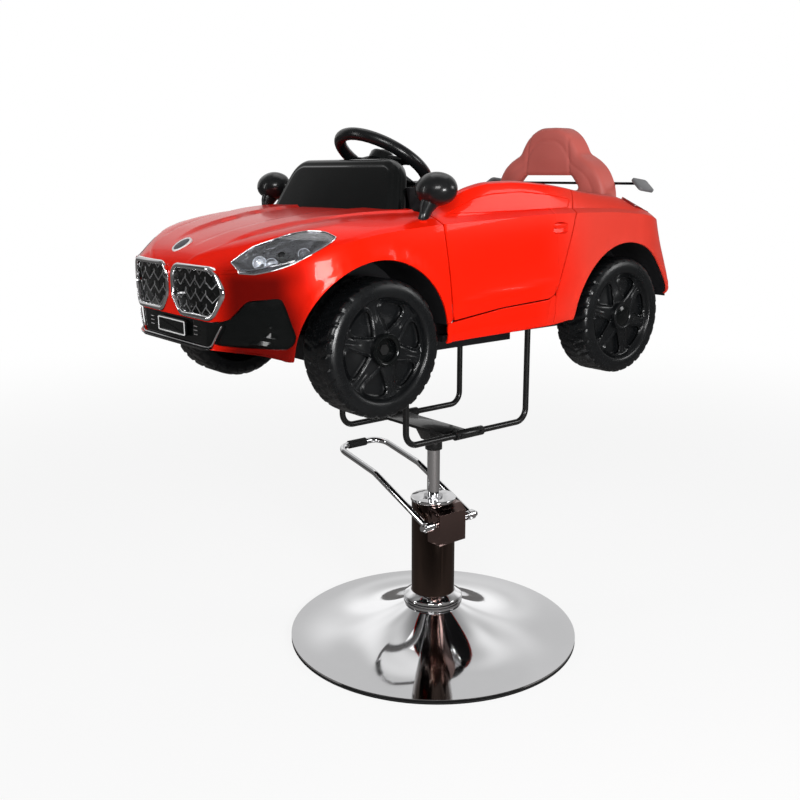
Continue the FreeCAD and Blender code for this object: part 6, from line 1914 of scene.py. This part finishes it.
def makeBase():
    # the crown rises slowly at the rim and steeply at the neck
    low, count, run = base["low"], base["cells"], base["radius"] - base["neck"]
    outer = [(base["radius"] - run * i / count, low + (base["top"] - low) * (i / count) ** base["bulge"])
             for i in range(count + 1)]
    inner = [(r, z - base["wall"]) for r, z in outer[::-1]]
    neck = [(base["neckIn"], base["top"]), (base["neckIn"], base["top"] - base["wall"])]
    rim = (base["radius"] - base["lipIn"], low - base["lipDown"])
    dish = lathe("baseDish", [rim] + outer + neck + inner, 192)
    wear(dish, "stand", "base_chrome", chrome, "base_dish")


makeBase()


def dressNodes():
    # machined and moulded pieces whose CAD shape is right get their edges taken off
    rows = (
        ("base_edge_trim", "edgeTrim", .8, "stand", "edge_rubber", rubber),
        ("column_collar", "columnCollar", 1.2, "stand", "collar_chrome", chrome),
        ("pump_cylinder", "pumpCylinder", .6, "stand", "cylinder_chrome", darkChrome),
        ("pump_head", "pumpHead", .8, "stand", "pump_chrome", chrome),
        ("pump_housing", "pumpHousing", 3.0, "stand", "pump_chrome", housingChrome),
        ("lever_shaft", "leverShaft", 1.0, "pedal", "pump_steel", chrome),
        ("hub_socket", "hubSocket", 1.0, "car", "frame_paint", satinSteel),
        ("cross_plate", "crossPlate", .8, "car", "frame_paint", satinSteel),
        ("tube_sleeves", "tubeSleeves", .8, "car", "frame_paint", satinSteel),
        ("foot_plates", "footPlates", .6, "car", "frame_paint", satinSteel),
        ("chassis_tray", "chassisTray", 2.0, "car", "chassis_plastic", grainBlack),
        ("cockpit_tub", "cockpitTub", 1.0, "car", "chassis_plastic", grainBlack),
        ("dashboard", "dashboardPanel", 3.0, "car", "dash_plastic", grainBlack),
        ("wing_blade", "wingBlade", 1.6, "car", "wing_plastic", glossBlack),
        ("power_button", "powerButton", .8, "power_button", "button_plastic", buttonRed),
        ("seat_base", "seatBase", .6, "car", "seat_plastic", seatRed),
    )
    for node, name, width, body, slot, material in rows:
        wear(roundedCopy(node, name, width), body, slot, material, node)


dressNodes()
keptNodes = {
    "base_bolts": steel, "base_stiffener": castIron, "pump_barrel": steel, "ram_bush": steel,
    "ram_rod": chrome, "pump_plunger": steel, "arch_liners": grainBlack, "door_pins": steel,
    "front_beam": steel, "knuckle_left": satinSteel, "knuckle_right": satinSteel, "tie_rod": steel,
    "rear_axle": steel, "rear_axle_nuts": steel, "steering_column": steel, "lever_grip": rubber,
}
for node, material in keptNodes.items():
    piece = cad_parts[node]
    for slot in piece.material_slots:
        slot.material = material


wingEnd = {"long": 46, "tall": 38, "thick": 7, "corner": 7, "middle": (364, 210, 929),
           "along": (.985, 0, -.12), "down": (-.22, .72, -.5)}


def makeWingEnds():
    # rounded plates that turn down and out from the ends of the blade
    outline = roundedBox(wingEnd["long"], wingEnd["tall"], wingEnd["corner"], 6)
    thick = wingEnd["thick"] / 2
    profile = ((2, -thick), (.6, -thick + .6), (0, -thick + 2), (0, thick - 2), (.6, thick - .6), (2, thick))
    ends = []
    for side in (-1, 1):
        (x, y, z), (downX, downY, downZ) = wingEnd["middle"], wingEnd["down"]
        along = Vector(wingEnd["along"]).normalized()
        down = Vector((downX, side * downY, downZ)).normalized()
        place = axesMatrix(along, down, along.cross(down).normalized(), (x, side * y, z), mm)
        ends.append(moveMesh(sweepOutline("wingEnd", outline, profile, filled=True), place))
    plates = joinPieces("wingEnds", ends)
    smooth(plates, 40)
    wear(plates, "car", "wing_end_plastic", wingGrey, "wing_ends")


makeWingEnds()
frameTube = {"radius": 6, "spread": 100, "low": 458, "front": -156, "back": 162, "bend": 26,
             "frontTop": 639, "backTop": 652}


def makeTubes():
    for word, side in (("left", -1), ("right", 1)):
        y = side * frameTube["spread"]
        corners = [(frameTube["front"], y, frameTube["frontTop"]), (frameTube["front"], y, frameTube["low"]),
                   (frameTube["back"], y, frameTube["low"]), (frameTube["back"], y, frameTube["backTop"])]
        line = filletPoints(corners, frameTube["bend"], 12, closed=False)
        piece = tube("frameTube" + word.capitalize(), line, frameTube["radius"], sides=10)
        wear(piece, "car", "frame_paint", satinSteel, "u_tube_" + word)


pedal = {"half": 60, "radius": 6.5, "shaft": (-50, 262), "elbow": (120, 335), "end": (254, 362), "bend": 60,
         "corner": 30, "eye": ((6.05, -7), (9, -7), (10, -6), (10, 6), (9, 7), (6.05, 7))}


def makePedal():
    half = pedal["half"]
    run = [pedal["shaft"], pedal["elbow"], pedal["end"]]
    corners = [(half, y, z) for y, z in run] + [(-half, y, z) for y, z in run[::-1]]
    radii = [0, pedal["bend"], pedal["corner"]]
    line = filletPoints(corners, radii + radii[::-1], 12, closed=False)
    bar = tube("pedalBar", line, pedal["radius"], sides=10)
    eyes = [moveMesh(lathe("pedalEye", pedal["eye"], 48), turnedPlace((side * half, *pedal["shaft"]), 90))
            for side in (-1, 1)]
    wear(joinPieces("pedalLoop", [bar] + eyes), "pedal", "lever_chrome", chrome, "foot_lever")


makeTubes()
makePedal()
print("stand dressed")
